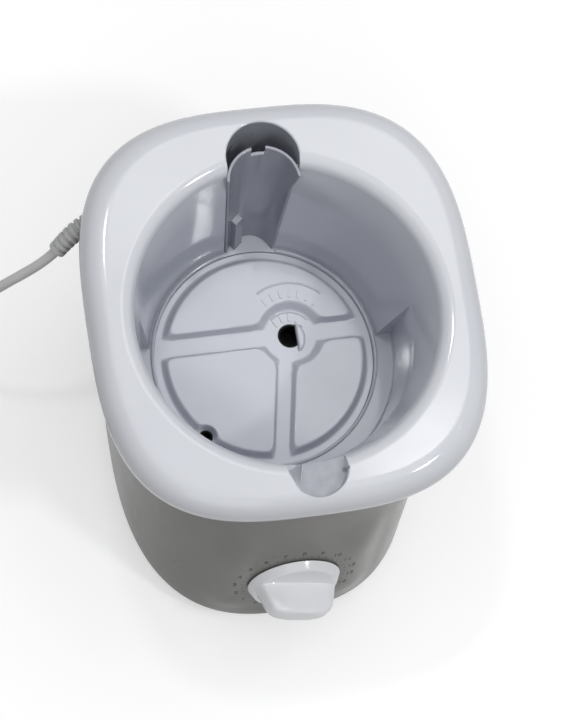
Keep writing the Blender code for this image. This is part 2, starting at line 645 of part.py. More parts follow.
def make_control_unit(casing, steel):
    """The rotary control behind the face, its threaded bushing and the nut that holds it."""
    axis = dial_matrix()
    unit = block("control_unit", (-22.0, -19.0, -30.0), (22.0, 19.0, -5.2), axis)
    boolean(unit, cylinder("bushing", BUSHING_RADIUS, -6.0, 4.2, count=32, matrix=axis), "UNION")
    boolean(unit, cylinder("shaft_bore", SHAFT_RADIUS + 0.08, -20.4, 6.0, count=32, matrix=axis))
    for x in (-14.0, 14.0):
        tab = block("blade_terminal", (x - 3.2, -12.0, -37.0), (x + 3.2, -11.2, -29.0), axis)
        boolean(unit, tab, "UNION")
    finish(unit, casing)
    nut = cylinder("control_nut", 7.0, 0.4, 3.2, count=6, matrix=axis)
    boolean(nut, cylinder("nut_bore", BUSHING_RADIUS + GAP, -1.0, 6.0, count=24, matrix=axis))
    finish(nut, steel)


# ---------------------------------------------------------------- heater and wiring

def make_heater(aluminium, steel, casing):
    """A plate under the well's floor, the tubular element on it, a cut-out and a shield below."""
    top = FLOOR_Z - FLOOR_SKIN - GAP
    plate = cylinder("heating_plate", 54.0, top - 4.0, top, count=48)
    boolean(plate, cylinder("hub_clearance", HUB_HOLE + 2.4, -120.0, -90.0, (HUB_X, HUB_Y), 24))
    finish(plate, aluminium)
    low = top - 4.0 - GAP - 3.5
    turns = [math.radians(250 - 320 * i / 22) for i in range(23)]
    route = [(40 * math.cos(t), 40 * math.sin(t), low) for t in turns]
    legs = [[(x * 0.96, y * 0.96, low - drop) for drop in (14.0, 7.0)] for x, y, _ in (route[0], route[-1])]
    finish(tube("heating_element", [*legs[0], *route, *reversed(legs[1])], 3.4, 8), steel)
    cutout = [(0.0, top - 4.3), (9.0, top - 4.3), (9.0, top - 9.0), (6.0, top - 9.0), (6.0, top - 13.0)]
    finish(lathe("thermal_cutout", [*cutout, (0.0, top - 13.0)], (-14.0, -12.0), 24), casing)
    shield = [(0.0, -131.0), (72.0, -131.0), (75.0, -128.0), (75.0, -118.0), (74.0, -118.0), (74.0, -127.6)]
    finish(lathe("heat_shield", [*shield, (71.6, -130.0), (0.0, -130.0)], count=32), steel)


def make_wiring(casing, sheath, red_lead, blue_lead):
    """Terminal block and clamp on the base plate, the cord's inner end and two leads."""
    floor = -180.6
    low, high = (CORD_INLET_X - 17.0, 28.0, floor), (CORD_INLET_X + 17.0, 46.0, floor + 14.0)
    terminal = block("terminal_block", low, high)
    for offset in (-10.0, 0.0, 10.0):
        spot = (CORD_INLET_X + offset, 37.0)
        boolean(terminal, cylinder("wire_screw", 2.6, floor + 8.0, floor + 20.0, spot, 12))
    finish(terminal, casing)
    low, high = (CORD_INLET_X - 10.0, 51.0, floor), (CORD_INLET_X + 10.0, 57.0, floor + 12.0)
    clamp = block("cord_clamp", low, high)
    bore = [(CORD_INLET_X, 45.0, -174.0), (CORD_INLET_X, 62.0, -174.0)]
    boolean(clamp, tube("clamp_bore", bore, CORD_RADIUS + GAP, 16))
    finish(clamp, casing)
    finish(tube("inner_cord", curve_through(INNER_ROUTE, 2), CORD_RADIUS, 8), sheath)
    control = [(-16.0, 27.6, -174.0), (-16.0, 10.0, -174.6), (-16.0, -24.0, -175.0), (-16.0, -54.0, -171.0)]
    control += [(-15.0, -76.0, -158.0), (-14.2, -88.0, -148.6), (-14.0, -95.6, -144.2)]
    finish(tube("control_lead", curve_through(control, 2), 1.3, 6), red_lead)
    heater = [(-29.0, 27.4, -174.0), (-29.6, 20.0, -174.0), (-40.0, 11.0, -173.0), (-62.0, 5.0, -166.0)]
    heater += [(-76.0, -3.0, -149.0)]
    heater += [(-79.5, -8.0, -128.0), (-74.0, -10.0, -113.6), (-62.0, -12.0, -112.0), (-45.6, -12.0, -112.0)]
    finish(tube("heater_lead", curve_through(heater, 2), 1.3, 6), blue_lead)


# ---------------------------------------------------------------- cord

CORD_EXIT = [(-62.0, 79.0, -31.0), (-92.0, 75.4, -31.0)]
BOOT_ROUTE = [(-73.0, 77.8, -31.0), (-82.0, 76.6, -31.0), (-92.0, 75.0, -31.3), (-100.0, 73.2, -32.2)]
BOOT_ROUTE += [(-107.0, 70.4, -35.0), (-113.5, 66.8, -40.0), (-118.7, 63.6, -46.0)]
CORD_ROUTE = [(-118.9, 63.5, -46.25), (-123.6, 61.4, -51.3), (-129.5, 59.6, -58.0), (-138.0, 57.8, -66.5)]
CORD_ROUTE += [(-147.5, 56.2, -76.0), (-156.5, 55.0, -88.0), (-163.8, 54.2, -102.0), (-169.0, 53.6, -118.0)]
CORD_ROUTE += [(-172.0, 52.6, -135.0), (-173.2, 50.0, -151.0), (-173.5, 44.0, -165.0), (-173.5, 34.5, -176.2)]
CORD_ROUTE += [(-173.5, 23.0, -182.4), (-173.5, 12.0, -183.7), (-173.5, 2.0, -183.7), (-173.5, -7.7, -183.7)]
TAIL_ROUTE = [(-178.6, -19.6, -164.8), (-183.0, -28.0, -164.8), (-189.6, -34.8, -164.8)]
TAIL_ROUTE += [(-197.8, -39.5, -164.8), (-206.9, -41.9, -164.8), (-211.0, -42.0, -164.8)]
INNER_ROUTE = [(-70.0, 77.6, -31.2), (-66.6, 77.2, -33.2), (-63.8, 76.2, -42.0), (-62.0, 74.0, -60.0)]
INNER_ROUTE += [(-60.0, 72.0, -90.0), (-54.0, 73.0, -122.0), (-42.0, 78.0, -150.0), (-29.0, 81.5, -167.0)]
INNER_ROUTE += [(CORD_INLET_X, 76.0, -174.0), (CORD_INLET_X, 62.0, -174.0), (CORD_INLET_X, 46.4, -174.0)]


def make_strain_relief(rubber):
    """The tapered boot of the cord, ringed by grooves, with a collar inside and outside the body's wall."""
    route = curve_through(BOOT_ROUTE, 4)
    last = len(route) - 1
    radii = [7.0 - 1.8 * i / last for i in range(last + 1)]
    boot = tube("strain_relief", route, radii, 12)
    for i in range(9, last - 1, 3):
        groove_ring(boot, Vector(route[i]), Vector(route[i + 1]) - Vector(route[i - 1]), radii[i])
    return finish(boot, rubber)


def groove_ring(boot, centre, along, radius):
    """One groove cut round the boot, open on two sides of it."""
    out = along.normalized()
    side = Vector((0.0, 0.0, 1.0)).cross(out).normalized()
    frame = Matrix((side, out.cross(side), out)).transposed().to_4x4()
    spot = Matrix.Translation(place(centre)) @ frame
    for sign in (-1, 1):
        low, high = sorted((sign * (radius - 1.5), sign * (radius + 2.0)))
        boolean(boot, block("groove", (low, -radius * 0.8, -0.8), (high, radius * 0.8, 0.8), spot))


def make_cord(sheath):
    """The free cord: the run down from the boot, the coil's outer shape and the tail on top of it."""
    finish(tube("cord_lead", curve_through(CORD_ROUTE, 2), CORD_RADIUS, 8), sheath)
    low = GAP - RIM_TOP
    high = low + COIL_HEIGHT
    profile = [(COIL_INNER, low), (COIL_OUTER, low), (COIL_OUTER, high), (COIL_INNER, high)]
    coil = turned_ring("cord_coil", profile, (COIL_X, COIL_Y), 36)
    boolean(coil, block("entry", (-177.2, COIL_Y, low - 1.0), (-165.0, 60.0, low + 6.8)))
    finish(coil, sheath)
    finish(tube("cord_tail", curve_through(TAIL_ROUTE, 2), CORD_RADIUS, 8), sheath)


def make_plug(plastic, brass):
    """A flat two-pin plug lying on the coil."""
    x, y, z = TAIL_ROUTE[-1][0] - GAP, TAIL_ROUTE[-1][1], TAIL_ROUTE[-1][2]
    levels = ((0, 3.6, 3.0), (6, 5.0, 3.1), (16, 9.0, 3.2), (27, 12.6, 3.3), (34, 12.6, 3.3))
    rings = []
    for along, half_y, half_z in levels:
        outline = squircle(half_y, half_z, 3.0, 0.0, 0.0, even_angles(20))
        rings.append([(x - along, y + a, z + 0.4 + b) for a, b, _ in outline])
    finish(solid("plug_body", *loft(rings)), plastic)
    face = x - 34.0 - GAP
    for name, offset in (("plug_pin_near", 6.35), ("plug_pin_far", -6.35)):
        low, high = (face - 17.0, y + offset - 0.8, z - 2.5), (face, y + offset + 0.8, z + 3.3)
        finish(block(name, low, high), brass)


def main():
    for old in list(bpy.data.objects):
        bpy.data.objects.remove(old)
    white = look("white_gloss_plastic", (0.74, 0.745, 0.775), 0.16)
    well = look("well_gloss_plastic", (0.62, 0.63, 0.68), 0.22)
    black = look("black_plastic", (0.015, 0.015, 0.017), 0.5)
    grey = look("grey_plastic", (0.35, 0.35, 0.36), 0.45)
    rubber = look("grey_rubber", (0.42, 0.42, 0.42), 0.7)
    sheath = look("cord_sheath", (0.55, 0.55, 0.54), 0.5)
    steel = look("plated_steel", (0.6, 0.6, 0.6), 0.3, 1.0)
    aluminium = look("aluminium", (0.75, 0.75, 0.76), 0.35, 1.0)
    brass = look("brass", (0.75, 0.6, 0.3), 0.3, 1.0)
    red = look("red_lead", (0.5, 0.05, 0.04), 0.5)
    blue = look("blue_lead", (0.05, 0.12, 0.45), 0.5)

    make_well_housing(white)
    make_chute_partition(well)
    make_well_floor(well)
    make_sleeve("hub_sleeve", black, (HUB_X, HUB_Y), HUB_HOLE, -116.0, True)
    make_sleeve("drain_sleeve", black, (DRAIN_X, DRAIN_Y), DRAIN_HOLE, -113.0, False)
    make_body_shell(white)
    make_base_plate(grey)
    make_feet_and_screws(rubber, steel)
    make_dial_knob(white)
    make_dial_shaft(steel)
    make_control_unit(grey, steel)
    make_heater(aluminium, steel, black)
    make_wiring(black, sheath, red, blue)
    make_strain_relief(rubber)
    make_cord(sheath)
    make_plug(white, brass)


main()
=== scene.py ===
"""Dresses the wax warmer pot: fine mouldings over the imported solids, finishes, cord, floor, lamps and camera.

Lengths are millimetres until a mesh is made. Heights under the rim are negative and the well's axis is
x = y = 0; place() moves both to the part's frame, where the table is z = 0.
"""

from math import asin, cos, hypot, pi, radians, sin, sqrt

import bmesh
import bpy
import numpy as np
from mathutils import Matrix, Vector

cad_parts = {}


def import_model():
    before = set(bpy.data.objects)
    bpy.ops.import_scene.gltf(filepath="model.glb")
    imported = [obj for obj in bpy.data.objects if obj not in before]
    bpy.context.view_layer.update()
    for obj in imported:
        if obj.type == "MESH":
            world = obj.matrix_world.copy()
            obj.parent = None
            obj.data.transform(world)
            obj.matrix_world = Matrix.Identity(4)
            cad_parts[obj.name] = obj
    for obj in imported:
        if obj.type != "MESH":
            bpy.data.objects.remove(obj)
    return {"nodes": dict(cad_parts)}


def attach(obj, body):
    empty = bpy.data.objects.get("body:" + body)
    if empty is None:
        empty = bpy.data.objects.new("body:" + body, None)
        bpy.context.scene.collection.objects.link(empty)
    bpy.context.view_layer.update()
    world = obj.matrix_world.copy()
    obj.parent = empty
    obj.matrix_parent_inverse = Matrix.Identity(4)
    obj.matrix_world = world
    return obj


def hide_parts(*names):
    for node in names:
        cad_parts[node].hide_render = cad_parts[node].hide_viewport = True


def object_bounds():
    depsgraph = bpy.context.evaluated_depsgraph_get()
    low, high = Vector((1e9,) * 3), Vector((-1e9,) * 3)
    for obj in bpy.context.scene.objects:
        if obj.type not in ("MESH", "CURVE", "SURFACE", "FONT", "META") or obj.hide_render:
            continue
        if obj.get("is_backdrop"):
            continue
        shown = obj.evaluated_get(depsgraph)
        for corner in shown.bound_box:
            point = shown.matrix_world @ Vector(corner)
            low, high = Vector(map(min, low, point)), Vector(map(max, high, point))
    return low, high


MM = 0.001
RIM_TOP, AXIS_Y = 187.0, 16.6
FINE = 240  # stations round the large mouldings
GAP = 0.3
ABOVE_RIM = 4.0  # how far a cutter stands above the rim

# Rim
RIM_HALF_X, RIM_HALF_Y, RIM_POWER, RIM_CENTRE_Y = 112.0, 119.7, 3.05, 5.2
ROLL_IN, ROLL_DOWN, SKIN = 14.0, 15.0, 2.6
# The curl under the rim's edge: inset, z
CURL = ((4.3, -21.5), (4.0, -22.5), (3.3, -23.0), (2.4, -22.8), (1.6, -22.0), (0.9, -20.6), (0.4, -18.6))

# Well
LIP_RADIUS, LIP_FLAT_RADIUS = 9.0, 95.0
WALL_TOP_RADIUS = LIP_FLAT_RADIUS - LIP_RADIUS
WALL_FOOT_REAR, WALL_FOOT_FRONT, WALL_FOOT_Z = 69.0, 78.0, -96.9
WALL_MERGE_Z, MERGE_POWER = -38.0, 1.25  # above this line the front wall is part of the same cone
STEP_Y_RIGHT, STEP_Y_LEFT = 6.0, 15.0
LEDGE_Z, WELL_FOOT_Z = -98.9, -102.5
LEDGE_FILLET_DOWN, LEDGE_FILLET_IN = 2.0, 0.9
BEAD_INNER, BEAD_OUTER, BEAD_Z = 65.9, 67.9, -97.2

# Chute at the rear, with the pocket behind it
CHUTE_FLOOR, CHUTE_TOP = (1.0, 62.0, 15.5, -100.0), (-0.8, 78.3, 21.3, -6.0)  # x, y, radius, z
CHUTE_SKIN, CHUTE_LIP_Z, CHUTE_BACKING = 1.6, -6.0, 1.2
LIP_PROUD_LEFT, LIP_PROUD_RIGHT, LIP_MERGE_DEPTH = 3.0, 4.0, 30.0
LIP_ROUNDING = ((0.25, 0.06), (0.07, 0.22), (0.0, 0.45))  # drop under the lip, inset
POCKET_X, POCKET_TOP, POCKET_FLOOR = -0.5, (91.0, 21.0, -1.5), (87.0, 20.2, -62.0)  # y, radius, z
POCKET_BACKING, MOUTH_EDGE, MOUTH_Z = 2.0, 1.2, -9.0
POCKET_FACES = (84.0, -64.5, -4.0)  # where its wall shows: y from, z from and to
# How far forward the walls behind chute and pocket reach, and the cutters of slot and mouth
CHUTE_WALL_Y, POCKET_WALL_Y, SLOT_Y, MOUTH_Y = 58.0, 70.0, 40.0, 60.0
CHUTE_WALL_TOP = -1.5
TOOL_NOTCH = (-5.3, 90.0, -12.4), (2.9, 104.0, 0.0)
KEY_TURN, KEY_PROUD, KEY_ROOT, KEY_HALF_WIDTH, KEY_TOP_Z = 129, 5.6, 0.9, 3.2, -70.0
KEY_ROUNDING = ((-0.6, 0.0), (-0.2, 0.15), (0.0, 0.5))  # lift, inset

# Pour notch at the front: a shelf, and beside it a gutter that falls into the well
NOTCH_X, NOTCH_Y, NOTCH_RADIUS, NOTCH_INNER_Y = 1.3, -90.4, 16.8, -70.0
NOTCH_BACKING = ((-12.0, 18.6), (-3.5, 18.6), (-1.2, 15.0))  # z, radius
SHELF_Z, SHELF_Y, SHELF_TILT, SHELF_EDGE = -6.0, -106.0, 0.12, 1.0
SHELF_FILLET = ((1.0, 0.0), (0.3, 0.3), (0.0, 1.0))  # inset, lift
SHELF_GROOVE_RADIUS, SHELF_GROOVE = 1.5, (17.2, -92.5)
SHELF_FACES = (-84.0, -9.5, -4.2)  # where it shows: y to, z from and to
GUTTER_LEFT, GUTTER_RIGHT = (-15.5, -89.5, -0.393), (-6.4, -86.6, 0.272)  # a point on a side, its dx/dy
GUTTER_LEVELS = ((-82.0, -20.0), (-85.5, -16.0), (-89.5, -12.0), (-93.5, -8.5), (-97.0, -5.4), (-99.5, -3.2))
GUTTER_TIP_Y, GUTTER_INNER_Y, GUTTER_EDGE = -100.2, -66.0, 1.6  # the levels are (y of the front end, z)
GUTTER_BACKING = (-19.0, -100.0, -23.0), (-3.0, -70.0, -1.3)
RIB_WIDTH, RIB_TOP_Z = 0.9, -4.0
RIB_ROOM = ((-83.0, -0.8), (-83.0, 2.0), (-100.6, 2.0), (-100.6, -0.3))  # y, how far right of the gutter

# Well floor
FLOOR_Z, PLATEAU_Z, FLOOR_SKIN, SKIRT_RADIUS = -100.6, -95.0, 3.4, 71.0
FLOOR_PITCH = 0.55
SKIRT_DEPTH, SKIRT_INSET, HOLE_EDGE, HOLE_FOOT_Z = 3.0, 3.0, 0.4, -110.0
SINK_DEPTH = 0.22  # the plates sag and rise by this much between their edges, as thick mouldings do
PLATEAU_RADIUS, PLATEAU_EDGE, PLATEAU_CORNER = 58.8, 0.8, 5.0
DISC_DRAFT, CHANNEL_DRAFT, HUB_DRAFT, DRAIN_DRAFT, DRAFT_BLEND = 2.6, 0.8, 3.6, 0.4, 4.0
HUB_X, HUB_Y, HUB_RADIUS, HUB_HOLE = 17.5, 11.6, 19.8, 7.2
CHANNEL_LOW_Y, CHANNEL_HIGH_Y = 6.2, 17.8
FRONT_CHANNEL_WIDTH, FRONT_CHANNEL_SHIFT, FRONT_CHANNEL_END = 9.4, 2.0, (0.6, -62.0)
DRAIN_X, DRAIN_Y, DRAIN_HOLE, DRAIN_RELIEF = -42.0, -43.4, 4.2, 5.0
BOSS_X, BOSS_Y, BOSS_HALF_X, BOSS_HALF_Y = 21.2, 10.0, 5.2, 8.4
# The half-moon's rounding: inset, lift
BOSS_LEVELS = ((0.0, -0.1), (0.0, 0.9), (0.25, 1.8), (0.8, 2.5), (1.6, 2.95), (2.6, 3.2), (3.8, 3.3))
# Level marks: radius, line radius, middle and span in degrees, bars, z
LEVEL_MARKS = ((24.6, 31.2, 84.0, 76.0, 7, PLATEAU_Z), (11.6, 14.8, 84.0, 96.0, 5, FLOOR_Z))

# Body: half x, half y, centre y, power, z
BODY_TOP = (94.8, 111.5, 6.5, 2.23, -17.7)
BODY_FOOT = (91.2, 121.4, -19.6, 2.6, -170.8)
BODY_RIM_Z, BODY_EDGE, BODY_SKIN, BODY_BOTTOM_Z = -7.6, 13.2, 2.5, -184.0
OPENING_INSET, FILLET_IN, FILLET_DOWN = BODY_EDGE + 0.2, 4.0, 9.0  # the opening in its foot, the fillet inside
FACE_HALF, FACE_FADE, FACE_SHARE = 30.0, 55.0, 0.85  # the front is nearly flat this far from the dial's line
FACE_LEVELS = (-60.0, -100.0, -148.0)  # it starts at the first, is fully flat between the others
INSIDE_LEVELS = (-148.0, -124.0, -100.0, -60.0, BODY_TOP[4], BODY_RIM_Z)
BUSHING_HOLE = 4.2
NOTCH_ROOM = (-18.5, -125.0, -11.0), (25.0, -90.0, 0.0)

# Dial
DIAL_Y, DIAL_Z, FACE_LEAN = -130.1, -124.0, radians(13.2)
KNOB_RADIUS, KNOB_REST_TURN = 27.8, 70.0
# The skirt, hollow behind: radius, height over the face
KNOB_PROFILE = ((0.0, 6.2), (23.8, 6.2), (24.6, 6.1), (25.1, 5.8), (25.5, 5.2), (27.5, 1.7),
                (KNOB_RADIUS, 1.0), (24.4, 1.0), (24.2, 4.2), (0.0, 4.2))
# The grip bar: z, half length, half width, power of the outline
GRIP_LEVELS = ((5.0, 25.1, 8.6, 4.0), (6.2, 25.1, 8.5, 4.0), (6.8, 24.7, 8.1, 4.2), (8.0, 24.2, 7.8, 4.6),
               (12.0, 22.9, 7.5, 5.0), (16.0, 21.5, 7.2, 5.5), (19.0, 20.3, 7.0, 5.5), (21.0, 18.9, 6.8, 5.0),
               (22.4, 17.1, 6.5, 4.5), (23.4, 14.5, 6.0, 4.0), (24.0, 11.4, 5.3, 3.5), (24.35, 7.4, 4.2, 3.0))
GROOVE_LEFT, GROOVE_RIGHT, GROOVE_END = -4.6, -3.2, 30.0
GROOVE_LEVELS = ((9.0, 22.6), (17.5, 19.8))  # z, how far from the axis the groove starts
NUMBER_RADIUS, NUMBER_SIZE, DOT_RADIUS = 35.3, 5.2, 31.0
NUMBER_SPACING, NUMBER_WEIGHT, INK_LIFT = 1.05, 0.09, 0.05
FIRST_NUMBER_TURN, LAST_NUMBER_TURN, LAST_NUMBER = -145.6, 135.4, 15

# Cord
CORD_RADIUS = 3.0
COIL_X, COIL_Y = -210.5, -8.0
COIL_NEAR, COIL_WIDE = 31.0, 37.1
COIL_LEVELS = (-183.7, -177.5, -171.3, -164.8)
COIL_LIFTS = ((570, 640), (1150, 1220), (1740, 1800))  # degrees over which the cord climbs to its next level
# The degrees over which the coil narrows, and by what share of the way from wide to near
COIL_STEPS = ((275, 360, 1.0), (855, 940, -1.0), (1435, 1520, 1.0), (1740, 1812, -0.5))
BOOT_ROUTE = ((-73.0, 77.8, -31.0), (-82.0, 76.6, -31.0), (-92.0, 75.0, -31.3), (-100.0, 73.2, -32.2),
              (-107.0, 70.4, -35.0), (-113.5, 66.8, -40.0), (-118.7, 63.6, -46.0))
LEAD_ROUTE = ((-118.9, 63.5, -46.25), (-123.6, 61.4, -51.3), (-129.5, 59.6, -58.0), (-138.0, 57.8, -66.5),
              (-147.5, 56.2, -76.0), (-156.5, 55.0, -88.0), (-163.8, 54.2, -102.0), (-169.0, 53.6, -118.0),
              (-172.0, 52.6, -135.0), (-173.2, 50.0, -151.0), (-173.5, 44.0, -165.0), (-173.5, 34.5, -176.2),
              (-173.5, 23.0, -182.4), (-173.5, 12.0, -183.7), (-173.5, 2.0, -183.7))
TAIL_ROUTE = ((-183.0, -28.0, -164.8), (-189.6, -34.8, -164.8), (-197.8, -39.5, -164.8),
              (-206.9, -41.9, -164.8), (-211.0, -42.0, -164.8))


# ---- meshes

def place(point):
    """A point of the script in the part's frame, in metres."""
    x, y, z = point
    return Vector((x, y + AXIS_Y, z + RIM_TOP)) * MM


def new_object(name, data):
    """An object that holds the data, in the scene."""
    made = bpy.data.objects.new(name, data)
    bpy.context.scene.collection.objects.link(made)
    return made


def mesh_object(name, points, faces, matrix=None):
    """A mesh in the part's frame, its normals outwards; with a matrix the points are local millimetres."""
    mesh = bpy.data.meshes.new(name)
    where = [matrix @ (Vector(p) * MM) for p in points] if matrix else [place(p) for p in points]
    mesh.from_pydata(where, [], faces)
    face_outwards(mesh)
    return new_object(name, mesh)


def face_outwards(mesh):
    """Every face of the mesh turned to point out of it."""
    work = bmesh.new()
    work.from_mesh(mesh)
    bmesh.ops.recalc_face_normals(work, faces=work.faces)
    if work.calc_volume(signed=True) < 0:
        bmesh.ops.reverse_faces(work, faces=work.faces)
    work.to_mesh(mesh)
    work.free()


def merged(name, meshes):
    """One mesh of several, each as its own closed shell."""
    work = bmesh.new()
    for mesh in meshes:
        work.from_mesh(mesh)
    whole = bpy.data.meshes.new(name)
    work.to_mesh(whole)
    work.free()
    return whole


def evaluated_mesh(made):
    """The object's final mesh, its modifiers worked out."""
    bpy.context.view_layer.update()
    return bpy.data.meshes.new_from_object(made.evaluated_get(bpy.context.evaluated_depsgraph_get()))


def loft(rings, closed=False):
    """Points and faces through rings of equal length, capped at both ends unless the rings are closed."""
    count = len(rings[0])
    points = [p for ring in rings for p in ring]
    faces = []
    for i in range(len(rings) if closed else len(rings) - 1):
        here, there = i * count, (i + 1) % len(rings) * count
        for j in range(count):
            k = (j + 1) % count
            faces.append((here + j, here + k, there + k, there + j))
    if not closed:
        faces.append(tuple(range(count)))
        faces.append(tuple(range(len(points) - count, len(points))))
    return points, faces


def boolean(target, tool, operation="DIFFERENCE"):
    """The tool cut away from the target or joined on to it; the tool is used up."""
    change = target.modifiers.new("change", "BOOLEAN")
    change.object = tool
    change.operation = operation
    change.solver = "EXACT"
    mesh = evaluated_mesh(target)
    target.modifiers.clear()
    target.data = mesh
    bpy.data.objects.remove(tool)


def cut(target, name, rings, matrix=None):
    """The loft through the rings cut away from the target."""
    boolean(target, mesh_object(name, *loft(rings), matrix))


def add(target, name, rings, matrix=None):
    """The loft through the rings joined on to the target."""
    boolean(target, mesh_object(name, *loft(rings), matrix), "UNION")


def finish(made, material, body="pot", stands_for=(), crease=30.0):
    """Material, smooth faces with hard creases, and the piece's place in the model."""
    mesh = made.data
    mesh.materials.clear()
    mesh.materials.append(material)
    work = bmesh.new()
    work.from_mesh(mesh)
    for face in work.faces:
        face.smooth = True
        face.material_index = 0
    for edge in work.edges:
        edge.smooth = len(edge.link_faces) == 2 and edge.calc_face_angle(pi) < radians(crease)
    work.to_mesh(mesh)
    work.free()
    weighted = made.modifiers.new("weighted normals", "WEIGHTED_NORMAL")
    weighted.keep_sharp = True
    weighted.weight = 50
    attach(made, body)
    if stands_for:
        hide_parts(*stands_for)


def repaint(made, material, chosen):
    """A second material on the faces whose centre, in millimetres from the well's axis and rim, is chosen."""
    made.data.materials.append(material)
    for face in made.data.polygons:
        x, y, z = face.center / MM
        if chosen(x, y - AXIS_Y, z - RIM_TOP, face.normal):
            face.material_index = len(made.data.materials) - 1


def polar(radius, turn, z, centre=(0.0, 0.0)):
    """The point at a radius and a turn about a centre."""
    return (centre[0] + radius * cos(turn), centre[1] + radius * sin(turn), z)


def evenly(first, last, steps):
    """The values from first to last in equal steps, both included."""
    return [first + (last - first) * i / steps for i in range(steps + 1)]


def even_angles(count):
    return [2 * pi * i / count for i in range(count)]


def circle(radius, z, centre=(0.0, 0.0), count=48):
    return [polar(radius, t, z, centre) for t in even_angles(count)]


def cylinder(name, radius, low, high, centre=(0.0, 0.0), count=48, matrix=None):
    rings = [circle(radius, z, centre, count) for z in (low, high)]
    return mesh_object(name, *loft(rings), matrix)


def block(name, low, high):
    (x0, y0, z0), (x1, y1, z1) = low, high
    rings = [[(x0, y0, z), (x1, y0, z), (x1, y1, z), (x0, y1, z)] for z in (z0, z1)]
    return mesh_object(name, *loft(rings))


def lathe(name, profile, matrix, count=144):
    """A solid turned from a profile of (radius, z) that starts and ends on the axis."""
    inner = profile[1:-1]
    points, faces = loft([circle(r, z, count=count) for r, z in inner])
    faces = faces[:-2]
    for pole, ring in ((profile[0], 0), (profile[-1], len(inner) - 1)):
        points.append((0.0, 0.0, pole[1]))
        tip, start = len(points) - 1, ring * count
        faces += [(start + j, start + (j + 1) % count, tip) for j in range(count)]
    return mesh_object(name, points, faces, matrix)


def curve_through(points, steps):
    """A smooth centripetal curve through given points, with so many steps between each two."""
    line = [Vector(p) for p in points]
    line = [2 * line[0] - line[1], *line, 2 * line[-1] - line[-2]]
    made = []
    for corners in zip(line, line[1:], line[2:], line[3:]):
        knots = [0.0]
        for p, q in zip(corners, corners[1:]):
            knots.append(knots[-1] + sqrt((q - p).length))
        made += [pyramid_mix(corners, knots, t) for t in evenly(knots[1], knots[2], steps)[:-1]]
    return [*made, line[-2]]


def pyramid_mix(corners, knots, t):
    """The point at t on a centripetal curve, as a pyramid of straight mixes."""
    level = list(corners)
    for spans in (((0, 1), (1, 2), (2, 3)), ((0, 2), (1, 3)), ((1, 2),)):
        shares = [(t - knots[low]) / (knots[high] - knots[low]) for low, high in spans]
        level = [level[i] * (1 - share) + level[i + 1] * share for i, share in enumerate(shares)]
    return level[0]


# ---- outlines

def clamped(share):
    return min(max(share, 0.0), 1.0)


def eased(value, start, stop):
    """From 0 at the start to 1 at the stop, level at both ends."""
    share = clamped((value - start) / (stop - start))
    return share * share * (3 - 2 * share)


def between(first, second, share):
    """Each measure a share of the way from the first to the second."""
    return [a + (b - a) * share for a, b in zip(first, second)]


def squircle(half_x, half_y, power, centre_y, z, angles):
    """A superellipse, its points at the given angles about its own centre."""
    ring = []
    for t in angles:
        c, s = cos(t), sin(t)
        reach = (abs(c / half_x) ** power + abs(s / half_y) ** power) ** (-1 / power)
        ring.append((reach * c, centre_y + reach * s, z))
    return ring


def well_angles():
    """Stations round the well, with a pair close together at each step of its wall."""
    right = asin(STEP_Y_RIGHT / WALL_FOOT_FRONT)
    left = pi - asin(STEP_Y_LEFT / WALL_FOOT_FRONT)
    half_step = radians(0.25)
    count = FINE // 2
    rear = [right + half_step + (left - right - 2 * half_step) * i / (count - 1) for i in range(count)]
    front_span = 2 * pi - left + right
    front = [left + half_step + (front_span - 2 * half_step) * i / (count - 1) for i in range(count)]
    return rear + front, count


WELL_ANGLES, REAR_COUNT = well_angles()


def rim_ring(inset, z):
    return squircle(RIM_HALF_X - inset, RIM_HALF_Y - inset, RIM_POWER, RIM_CENTRE_Y, z, WELL_ANGLES)


def well_ring(radius, z, front=None):
    """A ring of the well, its front half at a radius of its own if one is given."""
    ring = []
    for i, t in enumerate(WELL_ANGLES):
        r = radius if front is None or i < REAR_COUNT else front
        ring.append(polar(r, t, z))
    return ring


def wall_ring(z, out=0.0):
    """A ring of the well's wall: a cone whose front half is set back at its foot and merges further up."""
    rear = WALL_FOOT_REAR + out
    rear += (WALL_TOP_RADIUS - WALL_FOOT_REAR) * max((z - WALL_FOOT_Z) / (-LIP_RADIUS - WALL_FOOT_Z), 0.0)
    past = clamped((z - WALL_FOOT_Z) / (WALL_MERGE_Z - WALL_FOOT_Z))
    return well_ring(rear, z, rear + (WALL_FOOT_FRONT - WALL_FOOT_REAR) * (1 - past) ** MERGE_POWER)


def wall_rings(out=0.0):
    """The wall's rings from its foot up to where it is all one cone."""
    return [wall_ring(z, out) for z in evenly(WALL_FOOT_Z, WALL_MERGE_Z, 12)]


def body_measures(z):
    """Half width, half depth, centre and power of the body's outline at a height."""
    share = clamped((z - BODY_TOP[4]) / (BODY_FOOT[4] - BODY_TOP[4]))
    return between(BODY_TOP[:4], BODY_FOOT[:4], share)


def flat_share(x, z):
    """How much of the front's roundness is taken away at x and z, so that the dial has a nearly flat face."""
    start, full, last = FACE_LEVELS
    height = eased(z, start, full) * (1 - eased(z, last, BODY_FOOT[4]))
    return FACE_SHARE * height * (1 - eased(abs(x), FACE_HALF, FACE_FADE))


def body_ring(z, inset=0.0):
    """The body's outline at a height: it leans forward and squares up on its way down."""
    half_x, half_y, centre_y, power = body_measures(z)
    front = centre_y - half_y + inset
    ring = squircle(half_x - inset, half_y - inset, power, centre_y, z, even_angles(FINE))
    return [(x, y - (y - front) * flat_share(x, z) if y < centre_y else y, z) for x, y, z in ring]


